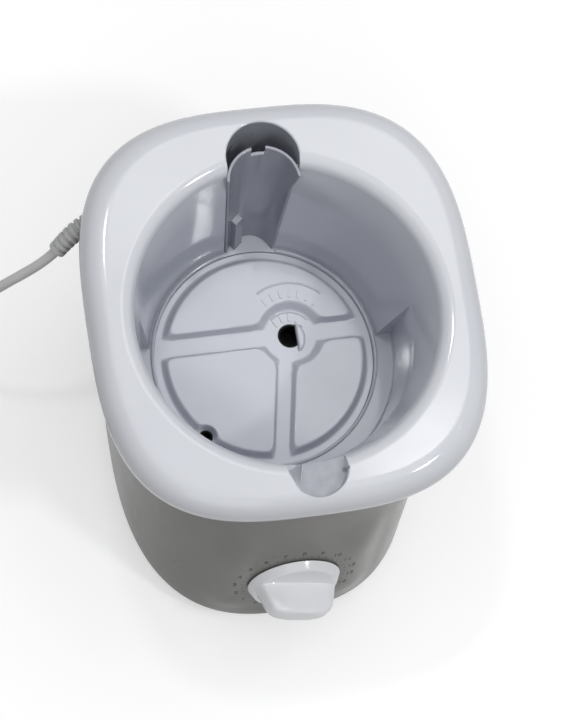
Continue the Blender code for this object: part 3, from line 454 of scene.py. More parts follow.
def body_front(x, z):
    """The y of the body's front surface at x and z."""
    half_x, half_y, centre_y, power = body_measures(z)
    fall = half_y * (1 - (1 - abs(x / half_x) ** power) ** (1 / power))
    return centre_y - half_y + fall * (1 - flat_share(x, z))


def arch(centre, radius, front_y, z, rear=1):
    """A half circle at the rear of its centre (at the front with rear=-1), with straight sides to front_y."""
    ring = [polar(radius, rear * t, z, centre) for t in evenly(0.0, pi, 48)]
    return [*ring, (centre[0] - radius, front_y, z), (centre[0] + radius, front_y, z)]


def chute_at(z):
    """Centre and radius of the tapered chute at a height."""
    share = (z - CHUTE_FLOOR[3]) / (CHUTE_TOP[3] - CHUTE_FLOOR[3])
    x, y, radius = between(CHUTE_FLOOR[:3], CHUTE_TOP[:3], share)
    return (x, y), radius


def chute_arch(grow, front_y, z):
    """The chute's outline at a height, grown by so much."""
    centre, radius = chute_at(z)
    return arch(centre, radius + grow, front_y, z)


def flare(edge, top, steps=5):
    """Growths and heights of a cutter's mouth that leave a rounded edge of that radius under top."""
    turns = evenly(0.0, pi / 2, steps)
    rings = [(edge * (1 - cos(t)), top - edge + edge * sin(t)) for t in turns]
    return [*rings[:-1], (edge + 0.02, top + 0.02), (edge + 0.02, top + ABOVE_RIM)]


# ---- the well housing

def roll(inset, depth, reach, z, step):
    """Rings of the rim's rolled edge, from the widest line up to its flat top."""
    turns = map(radians, range(90, -1, -step))
    return [rim_ring(inset + reach * (1 - sin(t)), z - depth * (1 - cos(t))) for t in turns]


def housing_block():
    """The housing before its cavity is cut: the outside of the well, the flange and its rolled edge."""
    rings = [wall_ring(WELL_FOOT_Z, SKIN - 1.0), wall_ring(WELL_FOOT_Z + 1.2, SKIN), *wall_rings(SKIN)]
    inner = LIP_RADIUS - SKIN
    for t in map(radians, range(0, 91, 15)):
        rings.append(well_ring(LIP_FLAT_RADIUS - inner * cos(t), -LIP_RADIUS + inner * sin(t)))
    rings += reversed(roll(SKIN + 0.4, ROLL_DOWN - SKIN, ROLL_IN - SKIN - 0.4, -SKIN, 15))
    rings += [rim_ring(inset, z) for inset, z in CURL]
    rings += roll(0.0, ROLL_DOWN, ROLL_IN, 0.0, 6)
    return mesh_object("well_housing_fine", *loft(rings))


def well_cavity():
    """Rings of the space inside the well: floor opening, bead, ledge, drafted wall and rounded lip."""
    rings = [well_ring(BEAD_INNER, WELL_FOOT_Z - 2.0), well_ring(BEAD_INNER, BEAD_Z - 1.0)]
    middle, half = (BEAD_INNER + BEAD_OUTER) / 2, (BEAD_OUTER - BEAD_INNER) / 2
    for t in map(radians, range(0, 181, 30)):
        rings.append(well_ring(middle - half * cos(t), BEAD_Z - 1.0 + sin(t)))
    rings.append(well_ring(BEAD_OUTER, LEDGE_Z))
    for t in map(radians, range(90, -1, -18)):
        z = WALL_FOOT_Z - LEDGE_FILLET_DOWN * sin(t)
        rings.append(wall_ring(z, -LEDGE_FILLET_IN * (1 - cos(t))))
    rings += wall_rings()[1:]
    for t in map(radians, range(0, 85, 6)):
        rings.append(well_ring(LIP_FLAT_RADIUS - LIP_RADIUS * cos(t), LIP_RADIUS * (sin(t) - 1)))
    return [*rings, well_ring(LIP_FLAT_RADIUS + 0.9, 0.12), well_ring(LIP_FLAT_RADIUS + 1.0, 6.0)]


def side_x(side, y, shift=0.0):
    """The x of one of the gutter's sides at y."""
    x, from_y, lean = side
    return x + (y - from_y) * lean + shift


def shelf_ring(radius, z):
    """The notch's outline on its shelf: round at the front and right, cut off by the rib at its left."""
    turns = [radians(-136 + 136 * i / 40) for i in range(41)]
    ring = [polar(radius, t, z, (NOTCH_X, NOTCH_Y)) for t in turns]
    rib_x = side_x(GUTTER_RIGHT, NOTCH_INNER_Y, RIB_WIDTH)
    return [*ring, (NOTCH_X + radius, NOTCH_INNER_Y, z), (rib_x, NOTCH_INNER_Y, z)]


def gutter_ring(tip, z, grow=0.0):
    """The gutter's wedge at a height, with a bowed front end."""
    low, high = side_x(GUTTER_LEFT, tip, -grow), side_x(GUTTER_RIGHT, tip)
    ring = []
    for share in evenly(0.0, 1.0, 10):
        bow = 0.3 * (high - low) * (1 - (2 * share - 1) ** 2)
        ring.append((low + (high - low) * share, tip - grow - bow, z))
    ring.append((side_x(GUTTER_RIGHT, GUTTER_INNER_Y), GUTTER_INNER_Y, z))
    return [*ring, (side_x(GUTTER_LEFT, GUTTER_INNER_Y, -grow), GUTTER_INNER_Y, z)]


def in_pocket(x, y, z, _):
    """Whether a face is on the pocket's wall, behind the chute's partition and under the rim's edge, where
    shade is painted.
    """
    rear, low, high = POCKET_FACES
    within = hypot(x - POCKET_X, y - POCKET_TOP[0]) < POCKET_TOP[1] + 0.6
    return within and y > rear and low < z < high


def on_shelf(x, y, z, normal):
    """Whether a face is on the pour notch's shelf."""
    within = hypot(x - NOTCH_X, y - NOTCH_Y) < NOTCH_RADIUS and x > side_x(GUTTER_RIGHT, y, 0.5)
    front, low, high = SHELF_FACES
    return within and normal.z > 0.7 and low < z < high and y < front


def add_backings(housing):
    """The walls that stand behind the chute, its pocket, the notch and the gutter."""
    grow = CHUTE_SKIN + CHUTE_BACKING
    add(housing, "chute_wall", [chute_arch(grow, CHUTE_WALL_Y, z) for z in (WELL_FOOT_Z, CHUTE_WALL_TOP)])
    ends = ((*POCKET_FLOOR[:2], POCKET_FLOOR[2] - 2.0), POCKET_TOP)
    pocket = [arch((POCKET_X, y), radius + POCKET_BACKING, POCKET_WALL_Y, z) for y, radius, z in ends]
    add(housing, "pocket_wall", pocket)
    bed = [arch((NOTCH_X, NOTCH_Y), radius, NOTCH_INNER_Y, z, rear=-1) for z, radius in NOTCH_BACKING]
    add(housing, "notch_wall", bed)
    boolean(housing, block("gutter_wall", *GUTTER_BACKING), "UNION")


def cut_chute(housing):
    """The slot that takes the partition, the pocket behind it and their shared mouth in the rim."""
    cut(housing, "chute_slot", [chute_arch(GAP, SLOT_Y, z) for z in (LEDGE_Z, ABOVE_RIM)])
    pocket = [arch((POCKET_X, y), radius, y - 3.0, z) for y, radius, z in (POCKET_FLOOR, POCKET_TOP)]
    cut(housing, "pocket", pocket)
    mouth = [arch((POCKET_X, POCKET_TOP[0] - 0.5), POCKET_TOP[1] - 0.1, MOUTH_Y, MOUTH_Z)]
    for grow, z in flare(MOUTH_EDGE, 0.0):
        mouth.append(arch((POCKET_X, POCKET_TOP[0]), POCKET_TOP[1] + grow, MOUTH_Y, z))
    cut(housing, "chute_mouth", mouth)


def cut_notch(housing):
    """The tilted shelf, the gutter beside it, the low rib between them and a groove at the shelf's right."""
    shelf = []
    for inset, lift in SHELF_FILLET:
        flat = shelf_ring(NOTCH_RADIUS - inset, lift)
        shelf.append([(x, y, z + SHELF_Z - SHELF_TILT * (y - SHELF_Y)) for x, y, z in flat])
    shelf += [shelf_ring(NOTCH_RADIUS + grow, z) for grow, z in flare(SHELF_EDGE, 0.0)]
    cut(housing, "shelf", shelf)
    gutter = [gutter_ring(*level) for level in GUTTER_LEVELS]
    gutter += [gutter_ring(GUTTER_TIP_Y, z, grow) for grow, z in flare(GUTTER_EDGE, 0.0)]
    cut(housing, "gutter", gutter)
    room = [[(side_x(GUTTER_RIGHT, y, shift), y, z) for y, shift in RIB_ROOM] for z in (RIB_TOP_Z, ABOVE_RIM)]
    cut(housing, "rib_room", room)
    boolean(housing, cylinder("shelf_groove", SHELF_GROOVE_RADIUS, -9.0, 3.0, SHELF_GROOVE, 32))


def make_well_housing(plastic, pocket_painted_shade, shelf_plastic):
    """Flange, rolled edge and well in one moulding, with the chute's slot, its pocket and the pour notch."""
    housing = housing_block()
    add_backings(housing)
    cut(housing, "well_cavity", well_cavity())
    cut_chute(housing)
    cut_notch(housing)
    finish(housing, plastic, stands_for=("well_housing",))
    # Painted shade on the pocket's wall, the gap behind the partition
    repaint(housing, pocket_painted_shade, in_pocket)
    repaint(housing, shelf_plastic, on_shelf)


def wall_radius(z):
    """Radius of the well's rear wall at a height, its rounded lip included."""
    if z > -LIP_RADIUS:
        return LIP_FLAT_RADIUS - sqrt(LIP_RADIUS ** 2 - (z + LIP_RADIUS) ** 2)
    share = (z - WALL_FOOT_Z) / (-LIP_RADIUS - WALL_FOOT_Z)
    return WALL_FOOT_REAR + (WALL_TOP_RADIUS - WALL_FOOT_REAR) * share


def end_turn(centre, radius, reach, side):
    """The turn, from the chute's side, at which its circle crosses the well's wall."""
    low, high = 0.0, pi / 2
    for _ in range(40):
        t = (low + high) / 2
        x, y = centre[0] + side * radius * cos(t), centre[1] + radius * sin(t)
        low, high = (t, high) if hypot(x, y) < reach else (low, t)
    return low


def rounded_end(centre, middle, half, turn, way, z):
    """Three points round one end of the partition's cross-section."""
    along = Vector((-sin(turn), cos(turn), 0.0)) * way
    out = Vector((cos(turn), sin(turn), 0.0)) * way
    hub = Vector(polar(middle, turn, z, centre))
    turns = map(radians, (45, 90, 135))
    return [tuple(hub + half * (out * cos(t) + along * sin(t))) for t in turns]


def partition_ring(z, inset=0.0):
    """A cross-section of the partition: a half tube, its ends rounded where they meet the well's wall."""
    centre, radius = chute_at(z)
    outer, inner = radius + GAP - 0.03 - inset, radius - CHUTE_SKIN + inset
    middle, half = (outer + inner) / 2, (outer - inner) / 2
    proud = 1 - eased(-z, -CHUTE_LIP_Z, LIP_MERGE_DEPTH)
    right = end_turn(centre, middle, wall_radius(z) - LIP_PROUD_RIGHT * proud, 1)
    left = pi - end_turn(centre, middle, wall_radius(z) - LIP_PROUD_LEFT * proud, -1)
    turns = evenly(right, left, 56)
    ring = [polar(outer, t, z, centre) for t in turns]
    ring += rounded_end(centre, middle, half, left, 1, z)
    ring += [polar(inner, t, z, centre) for t in reversed(turns)]
    return ring + rounded_end(centre, middle, half, right, -1, z)


def key_rib(foot):
    """The upright rib inside the partition, low at its left."""
    turn = radians(KEY_TURN)
    out = Vector((cos(turn), sin(turn), 0.0))
    across = Vector((-out.y, out.x, 0.0))
    rings = []
    for z, inset in ((foot, 0.0), *((KEY_TOP_Z + lift, inset) for lift, inset in KEY_ROUNDING)):
        (x, y), radius = chute_at(z)
        front, half = KEY_PROUD - inset, KEY_HALF_WIDTH - inset
        corners = ((front, -half), (KEY_ROOT, -half), (KEY_ROOT, half), (front, half))
        hub = Vector((x, y, z))
        rings.append([tuple(hub + out * (radius - deep) + across * wide) for deep, wide in corners])
    return mesh_object("key_rib", *loft(rings))


def join(target, other):
    """The other's mesh added to the target's, as a closed shell of its own; the other is used up."""
    target.data = merged(target.name, (target.data, other.data))
    bpy.data.objects.remove(other)


def make_chute_partition(plastic):
    """The tapered half tube that stands in the chute's slot and closes it off from the pocket behind."""
    foot = LEDGE_Z + GAP
    rings = [partition_ring(z) for z in evenly(foot, CHUTE_LIP_Z - 0.5, 24)]
    rings += [partition_ring(CHUTE_LIP_Z - drop, inset) for drop, inset in LIP_ROUNDING]
    partition = mesh_object("chute_partition_fine", *loft(rings))
    boolean(partition, block("tool_notch", *TOOL_NOTCH))
    join(partition, key_rib(foot))
    finish(partition, plastic, stands_for=("chute_partition",))


# ---- the well floor

def soft_least(a, b, blend):
    """The lesser of two distances, with the corner between them rounded over the blend."""
    near = np.maximum(blend - np.abs(a - b), 0.0)
    return np.minimum(a, b) - near * near / (4 * blend)


def ramp(depth, width, height, edge):
    """Height of a drafted side at a depth inside its top edge, with its foot and its top edge rounded."""
    share = 1.0 + depth / width
    round_off = edge / width
    raised = np.clip(share, 0.0, 1.0)
    top = np.maximum(round_off - np.abs(share - 1.0), 0.0)
    foot = np.maximum(round_off - np.abs(share), 0.0)
    return height * (raised - top * top / (4 * round_off) + foot * foot / (4 * round_off))


def plateau_height(x, y):
    """Height of the well floor's raised plates above its channels."""
    height = PLATEAU_Z - FLOOR_Z
    disc = (PLATEAU_RADIUS - np.hypot(x, y), DISC_DRAFT)
    hub = (np.hypot(x - HUB_X, y - HUB_Y) - HUB_RADIUS, HUB_DRAFT)
    drain = (np.hypot(x - DRAIN_X, y - DRAIN_Y) - DRAIN_RELIEF, DRAIN_DRAFT)
    reach = Vector((FRONT_CHANNEL_END[0] - HUB_X + FRONT_CHANNEL_SHIFT, FRONT_CHANNEL_END[1] - HUB_Y))
    along = reach.normalized()
    side = (x - HUB_X + FRONT_CHANNEL_SHIFT) * -along.y + (y - HUB_Y) * along.x
    half = FRONT_CHANNEL_WIDTH / 2 + CHANNEL_DRAFT
    rear = (y - CHANNEL_HIGH_Y - CHANNEL_DRAFT, CHANNEL_DRAFT)
    front = (CHANNEL_LOW_Y - CHANNEL_DRAFT - y, CHANNEL_DRAFT)
    total = np.zeros_like(x)
    for first, *others in ((disc, rear, hub), (disc, front, (side - half, CHANNEL_DRAFT), hub),
                           (disc, front, (-side - half, CHANNEL_DRAFT), hub, drain)):
        depth, width = first[0], np.full_like(x, first[1])
        for other, draft in others:
            lean = np.clip(0.5 + (depth - other) / DRAFT_BLEND, 0.0, 1.0)
            depth, width = soft_least(depth, other, PLATEAU_CORNER), width + (draft - width) * lean
        total = np.maximum(total, ramp(depth, width, height, PLATEAU_EDGE))
    sink = SINK_DEPTH * np.sin(x / 16.0 + 0.8) * np.sin(y / 13.0 - 0.4)
    return total + sink * total / height


def floor_grid(outer):
    """A square grid bent into a disc and raised into its plates: points, faces and the border in order."""
    span = int(outer / FLOOR_PITCH)
    count = 2 * span + 1
    line = np.arange(-span, span + 1) * FLOOR_PITCH
    x, y = np.meshgrid(line, line)
    rounded = np.maximum(np.abs(x), np.abs(y)) / np.maximum(np.hypot(x, y), 1e-9) * outer / line[-1]
    x, y = x * rounded, y * rounded  # the square grid's outlines become circles
    points = np.stack([x, y, FLOOR_Z + plateau_height(x, y)], axis=-1).reshape(-1, 3).tolist()
    faces = [(i * count + j, i * count + j + 1, (i + 1) * count + j + 1, (i + 1) * count + j)
             for i in range(count - 1) for j in range(count - 1)]
    border = [*range(count), *(i * count + count - 1 for i in range(1, count))]
    border += [(count - 1) * count + j for j in range(count - 2, -1, -1)]
    border += [i * count for i in range(count - 2, 0, -1)]
    return points, faces, border


def make_well_floor(plastic):
    """Floor plate: a fine disc raised into its plates by rule, a skirt and a flat underside."""
    outer = BEAD_INNER - GAP
    points, faces, border = floor_grid(outer)
    count, before = len(border), border
    for out, low in ((0.0, WELL_FOOT_Z - GAP), (SKIRT_RADIUS - outer, WELL_FOOT_Z - GAP),
                     (SKIRT_RADIUS - outer, WELL_FOOT_Z - SKIRT_DEPTH), (-SKIRT_INSET, FLOOR_Z - FLOOR_SKIN)):
        here = list(range(len(points), len(points) + count))
        for index in border:
            x, y = points[index][:2]
            radius = hypot(x, y)
            points.append((x * (radius + out) / radius, y * (radius + out) / radius, low))
        faces += [(before[k], before[(k + 1) % count], here[(k + 1) % count], here[k]) for k in range(count)]
        before = here
    faces.append(tuple(before))
    floor = mesh_object("well_floor_fine", points, faces)
    for name, radius, centre in (("hub_hole", HUB_HOLE, (HUB_X, HUB_Y)),
                                 ("drain_hole", DRAIN_HOLE, (DRAIN_X, DRAIN_Y))):
        rings = [circle(radius, HOLE_FOOT_Z, centre, 64)]
        rings += [circle(radius + grow, z, centre, 64) for grow, z in flare(HOLE_EDGE, FLOOR_Z, 3)]
        cut(floor, name, rings)
    join(floor, hub_boss())
    finish(floor, plastic, stands_for=("well_floor",), crease=50.0)


def hub_boss():
    """The half-moon beside the hub's hole."""
    turns = [pi * (i / 32 - 0.5) for i in range(33)]
    rings = []
    for inset, lift in BOSS_LEVELS:
        x, z = BOSS_X + inset * 0.4, FLOOR_Z + lift
        half_x, half_y = BOSS_HALF_X - inset, BOSS_HALF_Y - inset
        rings.append([(x + half_x * cos(t), BOSS_Y + half_y * sin(t), z) for t in turns])
    return mesh_object("hub_boss", *loft(rings))


# ---- the body

def lowered(ring, z):
    """The ring's outline at another height."""
    return [(x, y, z) for x, y, _ in ring]


def body_outside():
    """Rings down the body's outside and round its foot."""
    foot = BODY_FOOT[4]
    rings = [body_ring(BODY_RIM_Z), *(body_ring(z) for z in evenly(BODY_TOP[4], foot, 24))]
    for t in map(radians, range(9, 91, 9)):
        rings.append(lowered(body_ring(foot, BODY_EDGE * (1 - cos(t))), foot - BODY_EDGE * sin(t)))
    return rings


def body_inside():
    """Rings up the body's inside, from the opening in its foot."""
    foot = BODY_FOOT[4]
    opening = body_ring(foot, OPENING_INSET)
    rings = [lowered(opening, BODY_BOTTOM_Z), lowered(opening, BODY_BOTTOM_Z + BODY_SKIN)]
    rings += [lowered(body_ring(foot, BODY_SKIN + FILLET_IN), foot - FILLET_DOWN), body_ring(foot, BODY_SKIN)]
    return rings + [body_ring(z, BODY_SKIN) for z in INSIDE_LEVELS]


def make_body_shell(plastic):
    """The open shell that leans forward and squares up on its way down; its foot is rounded."""
    shell = mesh_object("body_shell_fine", *loft(body_outside() + body_inside(), closed=True))
    boolean(shell, cylinder("bushing_hole", BUSHING_HOLE, -12.0, 12.0, matrix=dial_matrix()))
    boolean(shell, block("notch_room", *NOTCH_ROOM))
    finish(shell, plastic, stands_for=("body_shell",))


# ---- the dial

def dial_matrix():
    """The dial's own frame: x to the right, y up the face, z straight out of it."""
    right = Vector((1.0, 0.0, 0.0))
    up = Vector((0.0, sin(FACE_LEAN), cos(FACE_LEAN)))
    turn = Matrix((right, up, right.cross(up))).transposed().to_4x4()
    return Matrix.Translation(place((0.0, DIAL_Y, DIAL_Z))) @ turn


def make_dial_knob(plastic):
    """The skirt, hollow behind, and a tapered grip bar with a pointer groove at one end."""
    rest = dial_matrix() @ Matrix.Rotation(radians(KNOB_REST_TURN), 4, "Z")
    knob = lathe("dial_knob_fine", KNOB_PROFILE, rest)
    bar = [squircle(wide, long, power, 0.0, z, even_angles(128)) for z, long, wide, power in GRIP_LEVELS]
    add(knob, "grip_bar", bar, rest)
    groove = [[(GROOVE_LEFT, start, z), (GROOVE_RIGHT, start, z), (GROOVE_RIGHT, GROOVE_END, z),
               (GROOVE_LEFT, GROOVE_END, z)] for z, start in GROOVE_LEVELS]
    cut(knob, "pointer_groove", groove, rest)
    finish(knob, plastic, body="dial", stands_for=("dial_knob",), crease=35.0)


def on_face(points, lift):
    """Flat points in the dial's plane laid onto the body's curved front, raised by the lift."""
    laid = []
    for u, v in points:
        z = DIAL_Z + v * cos(FACE_LEAN)
        laid.append((u, body_front(u, z) - lift * cos(FACE_LEAN), z + lift * sin(FACE_LEAN)))
    return laid


def print_on_face(name, flat_mesh, ink):
    """A thin skin of ink from a flat mesh whose points are millimetres in the dial's plane."""
    work = bmesh.new()
    work.from_mesh(flat_mesh)
    bmesh.ops.remove_doubles(work, verts=work.verts, dist=0.0005)
    bmesh.ops.recalc_face_normals(work, faces=work.faces)
    flat = [(v.co.x, v.co.y) for v in work.verts]
    border = [(e.verts[0].index, e.verts[1].index) for e in work.edges if len(e.link_faces) == 1]
    faces = [tuple(v.index for v in f.verts) for f in work.faces]
    work.free()
    count = len(flat)
    faces += [tuple(count + i for i in reversed(face)) for face in faces]
    faces += [(a, b, count + b, count + a) for a, b in border]
    finish(mesh_object(name, on_face(flat, INK_LIFT) + on_face(flat, -INK_LIFT), faces), ink)


def number_mesh(value):
    """One number, flat, at its place round the dial."""
    turn = radians(FIRST_NUMBER_TURN + (LAST_NUMBER_TURN - FIRST_NUMBER_TURN) * value / LAST_NUMBER)
    text = bpy.data.curves.new("number", "FONT")
    text.body = str(value)
    text.size = NUMBER_SIZE
    text.space_character = NUMBER_SPACING
    text.align_x, text.align_y = "CENTER", "CENTER"
    text.offset = NUMBER_WEIGHT
    text.resolution_u = 4
    holder = new_object("number", text)
    mesh = evaluated_mesh(holder)
    mesh.transform(Matrix.Translation((NUMBER_RADIUS * sin(turn), NUMBER_RADIUS * cos(turn), 0.0)))
    bpy.data.objects.remove(holder)
    return mesh


def make_numbers(ink):
    """The numbers 0 to 15 round the dial, upright, in one thin print."""
    flat = merged("numbers", [number_mesh(value) for value in range(LAST_NUMBER + 1)])
    print_on_face("dial_numbers", flat, ink)


# ---- geometry nodes

def feed(made, inputs):
    """The node with its inputs set: each takes a value, or is joined to another node's socket."""
    for key, value in inputs.items():
        if isinstance(value, bpy.types.NodeSocket):
            made.id_data.links.new(value, made.inputs[key])
        else:
            made.inputs[key].default_value = value
    return made


def node(tree, kind, inputs=(), **settings):
    """A new node with its settings made and its inputs fed."""
    made = tree.nodes.new(kind)
    for key, value in settings.items():
        setattr(made, key, value)
    return feed(made, dict(inputs))


def math_node(tree, operation, *values):
    """A sum of numbers and other nodes' sockets."""
    return node(tree, "ShaderNodeMath", dict(enumerate(values)), operation=operation).outputs[0]


def new_tree(name, **inputs):
    """A geometry tree that takes the named sizes and a material; returns it, its inputs and their ids."""
    tree = bpy.data.node_groups.new(name, "GeometryNodeTree")
    tree.interface.new_socket("Geometry", in_out="INPUT", socket_type="NodeSocketGeometry")
    tree.interface.new_socket("Geometry", in_out="OUTPUT", socket_type="NodeSocketGeometry")
    kinds = {int: "NodeSocketInt", float: "NodeSocketFloat", tuple: "NodeSocketVector"}
    ids = {}
    for key, value in inputs.items():
        label = key.replace("_", " ").title()
        socket = tree.interface.new_socket(label, in_out="INPUT", socket_type=kinds[type(value)])
        socket.default_value = value
        ids[label] = socket.identifier
    socket = tree.interface.new_socket("Material", in_out="INPUT", socket_type="NodeSocketMaterial")
    ids["Material"] = socket.identifier
    return tree, tree.nodes.new("NodeGroupInput").outputs, ids


def run_tree(tree, ids, holder, values):
    """The mesh that a tree makes on a holder object, with the named inputs set; the holder is used up."""
    change = holder.modifiers.new("tree", "NODES")
    change.node_group = tree
    for label, value in values.items():
        change[ids[label]] = value
    mesh = evaluated_mesh(holder)
    bpy.data.objects.remove(holder)
    return mesh


def end_tree(tree, geometry, given):
    """Realize Instances, Set Material and the group output."""
    realize = node(tree, "GeometryNodeRealizeInstances", {0: geometry})
    inputs = {"Geometry": realize.outputs[0], "Material": given["Material"]}
    dress = node(tree, "GeometryNodeSetMaterial", inputs)
    node(tree, "NodeGroupOutput", {0: dress.outputs[0]})


def arc_of(tree, given, radius, resolution):
    """An arc of the given start and sweep."""
    inputs = {"Resolution": resolution, "Radius": radius}
    inputs.update({"Start Angle": given["Start"], "Sweep Angle": given["Sweep"]})
    return node(tree, "GeometryNodeCurveArc", inputs).outputs["Curve"]


def arc_points(tree, given):
    """An arc of the given radius cut to the given count of points."""
    arc = arc_of(tree, given, given["Radius"], 64)
    return node(tree, "GeometryNodeResampleCurve", {"Curve": arc, "Count": given["Count"]}).outputs[0]


def tube(tree, line, radius, resolution, scale=1.0):
    """A round closed tube along a curve."""
    size = {"Resolution": resolution, "Radius": radius}
    profile = node(tree, "GeometryNodeCurvePrimitiveCircle", size).outputs[0]
    inputs = {"Curve": line, "Profile Curve": profile, "Scale": scale, "Fill Caps": True}
    return node(tree, "GeometryNodeCurveToMesh", inputs).outputs[0]


def dots_tree():
    """Small flat discs spaced evenly along an arc."""
    tree, given, ids = new_tree("dial dots", radius=DOT_RADIUS, dot_radius=0.45, start=0.0, sweep=1.0,
                                count=31)
    size = {"Vertices": 16, "Radius": given["Dot Radius"]}
    disc = node(tree, "GeometryNodeMeshCircle", size, fill_type="NGON").outputs["Mesh"]
    spread = node(tree, "GeometryNodeInstanceOnPoints", {"Points": arc_points(tree, given), "Instance": disc})
    end_tree(tree, spread.outputs[0], given)
    return tree, ids


def marks_tree():
    """Raised bars that stand across an arc, and a thin raised line along it a little further out."""
    tree, given, ids = new_tree("level marks", radius=0.024, line_radius=0.03, start=0.0, sweep=1.0, count=5,
                                bar_size=(0.0017, 0.0048, 0.0014), line_width=0.0007)
    bar = node(tree, "GeometryNodeMeshCube", {"Size": given["Bar Size"]}).outputs["Mesh"]
    facing = node(tree, "GeometryNodeInputTangent").outputs[0]
    turned = node(tree, "FunctionNodeAlignRotationToVector", {"Vector": facing}, axis="X").outputs[0]
    inputs = {"Points": arc_points(tree, given), "Instance": bar, "Rotation": turned}
    bars = node(tree, "GeometryNodeInstanceOnPoints", inputs).outputs[0]
    line = tube(tree, arc_of(tree, given, given["Line Radius"], 48), given["Line Width"], 12)
    both = node(tree, "GeometryNodeJoinGeometry", {0: bars})
    tree.links.new(line, both.inputs[0])
    end_tree(tree, both.outputs[0], given)
    return tree, ids


def boot_tree():
    """A tapered, ribbed sleeve along a curve: its radius falls from root to tip and dips at each groove."""
    tree, given, ids = new_tree("ribbed boot", root_radius=0.007, tip_radius=0.0052, groove_depth=0.0013,
                                grooves=9, plain_share=0.34)
    inputs = {"Count": 260, "Curve": given["Geometry"]}
    line = node(tree, "GeometryNodeResampleCurve", inputs).outputs[0]
    along = node(tree, "GeometryNodeSplineParameter").outputs["Factor"]
    fall = math_node(tree, "SUBTRACT", given["Tip Radius"], given["Root Radius"])
    plain = math_node(tree, "MULTIPLY_ADD", along, fall, given["Root Radius"])
    past = math_node(tree, "SUBTRACT", along, given["Plain Share"])
    share = math_node(tree, "DIVIDE", past, math_node(tree, "SUBTRACT", 0.97, given["Plain Share"]))
    wave = math_node(tree, "FRACT", math_node(tree, "MULTIPLY", share, given["Grooves"]))
    near = math_node(tree, "ABSOLUTE", math_node(tree, "SUBTRACT", wave, 0.5))
    inputs = {"Value": near, "From Min": 0.12, "From Max": 0.26, "To Min": 1.0, "To Max": 0.0}
    dip = node(tree, "ShaderNodeMapRange", inputs, interpolation_type="SMOOTHSTEP").outputs[0]
    started = math_node(tree, "GREATER_THAN", share, 0.0)
    ended = math_node(tree, "LESS_THAN", share, 1.0)
    depth = math_node(tree, "MULTIPLY", math_node(tree, "MULTIPLY", dip, started), ended)
    radius = math_node(tree, "SUBTRACT", plain, math_node(tree, "MULTIPLY", depth, given["Groove Depth"]))
    end_tree(tree, tube(tree, line, 1.0, 48, radius), given)
    return tree, ids


def empty_holder(name):
    """An object with no geometry of its own, for a tree to fill."""
    return new_object(name, bpy.data.meshes.new(name))


def make_dots(ink):
    """Dots between the knob and its numbers: one at each number and one half way to the next."""
    values = {"Start": radians(90.0 - LAST_NUMBER_TURN), "Count": 2 * LAST_NUMBER + 1, "Material": ink}
    values["Sweep"] = radians(LAST_NUMBER_TURN - FIRST_NUMBER_TURN)
    print_on_face("dial_dots", run_tree(*dots_tree(), empty_holder("dots"), values), ink)


def make_level_marks(plastic):
    """Plain raised level marks behind the hub: bars on the plate above it, and bars in its hollow."""
    meshes = []
    for radius, line, middle, span, count, z in LEVEL_MARKS:
        values = {"Radius": radius * MM, "Line Radius": line * MM, "Count": count, "Material": plastic}
        values["Start"] = radians(middle - span / 2)
        values["Sweep"] = radians(span)
        mesh = run_tree(*marks_tree(), empty_holder("marks"), values)
        mesh.transform(Matrix.Translation(place((HUB_X, HUB_Y, z))))
        meshes.append(mesh)
    mesh = merged("level_marks", meshes)
    face_outwards(mesh)
    finish(new_object("level_marks", mesh), plastic)


def make_strain_relief(rubber):
    """The cord's tapered boot with its grooves."""
    holder = curve_object("boot_line", [place(p) for p in curve_through(BOOT_ROUTE, 6)], 0.0)
    mesh = run_tree(*boot_tree(), holder, {"Material": rubber})
    face_outwards(mesh)
    boot = new_object("strain_relief_fine", mesh)
    finish(boot, rubber, stands_for=("strain_relief",), crease=60.0)


# ---- the cord

def curve_object(name, points, radius):
    """A curve through the points, round if it has a radius."""
    curve = bpy.data.curves.new(name, "CURVE")
    curve.dimensions = "3D"
    spline = curve.splines.new("POLY")
    spline.points.add(len(points) - 1)
    for spot, point in zip(spline.points, points):
        spot.co = (*point, 1.0)
    curve.bevel_depth = radius
    curve.bevel_resolution = 5
    curve.use_fill_caps = True
    return new_object(name, curve)


def coil_turns():
    """The coil's winding, clockwise from its outer bottom turn; it narrows and widens before it climbs."""
    points = []
    for degrees in range(0, 1821, 8):
        inward = sum(share * eased(degrees, start, stop) for start, stop, share in COIL_STEPS)
        height = COIL_LEVELS[0]
        for low, high, (start, stop) in zip(COIL_LEVELS, COIL_LEVELS[1:], COIL_LIFTS):
            height += (high - low) * eased(degrees, start, stop)
        radius = COIL_WIDE + (COIL_NEAR - COIL_WIDE) * inward
        points.append(polar(radius, -radians(degrees), height, (COIL_X, COIL_Y)))
    return points


def make_cord(sheath):
    """One free cord: down from the boot, round the coil and over it to the plug."""
    line = [place(p) for p in curve_through([*LEAD_ROUTE, *coil_turns(), *TAIL_ROUTE], 3)]
    cord = curve_object("mains_cord", line, CORD_RADIUS * MM)
    cord.data.materials.append(sheath)
    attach(cord, "pot")
    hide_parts("cord_lead", "cord_coil", "cord_tail")


# ---- finishes

def noise(tree, scale, detail=3.0, roughness=0.5):
    """Noise on the object's own coordinates; scale is per metre."""
    spot = tree.nodes.get("spot") or node(tree, "ShaderNodeTexCoord", name="spot")
    inputs = {"Vector": spot.outputs["Object"], "Scale": scale, "Detail": detail, "Roughness": roughness}
    return node(tree, "ShaderNodeTexNoise", inputs).outputs["Fac"]


def ranged(tree, source, low, high, start=0.3, stop=0.7):
    """The source's span from start to stop carried over to low to high."""
    inputs = {"Value": source, "From Min": start, "From Max": stop, "To Min": low, "To Max": high}
    return node(tree, "ShaderNodeMapRange", inputs).outputs[0]


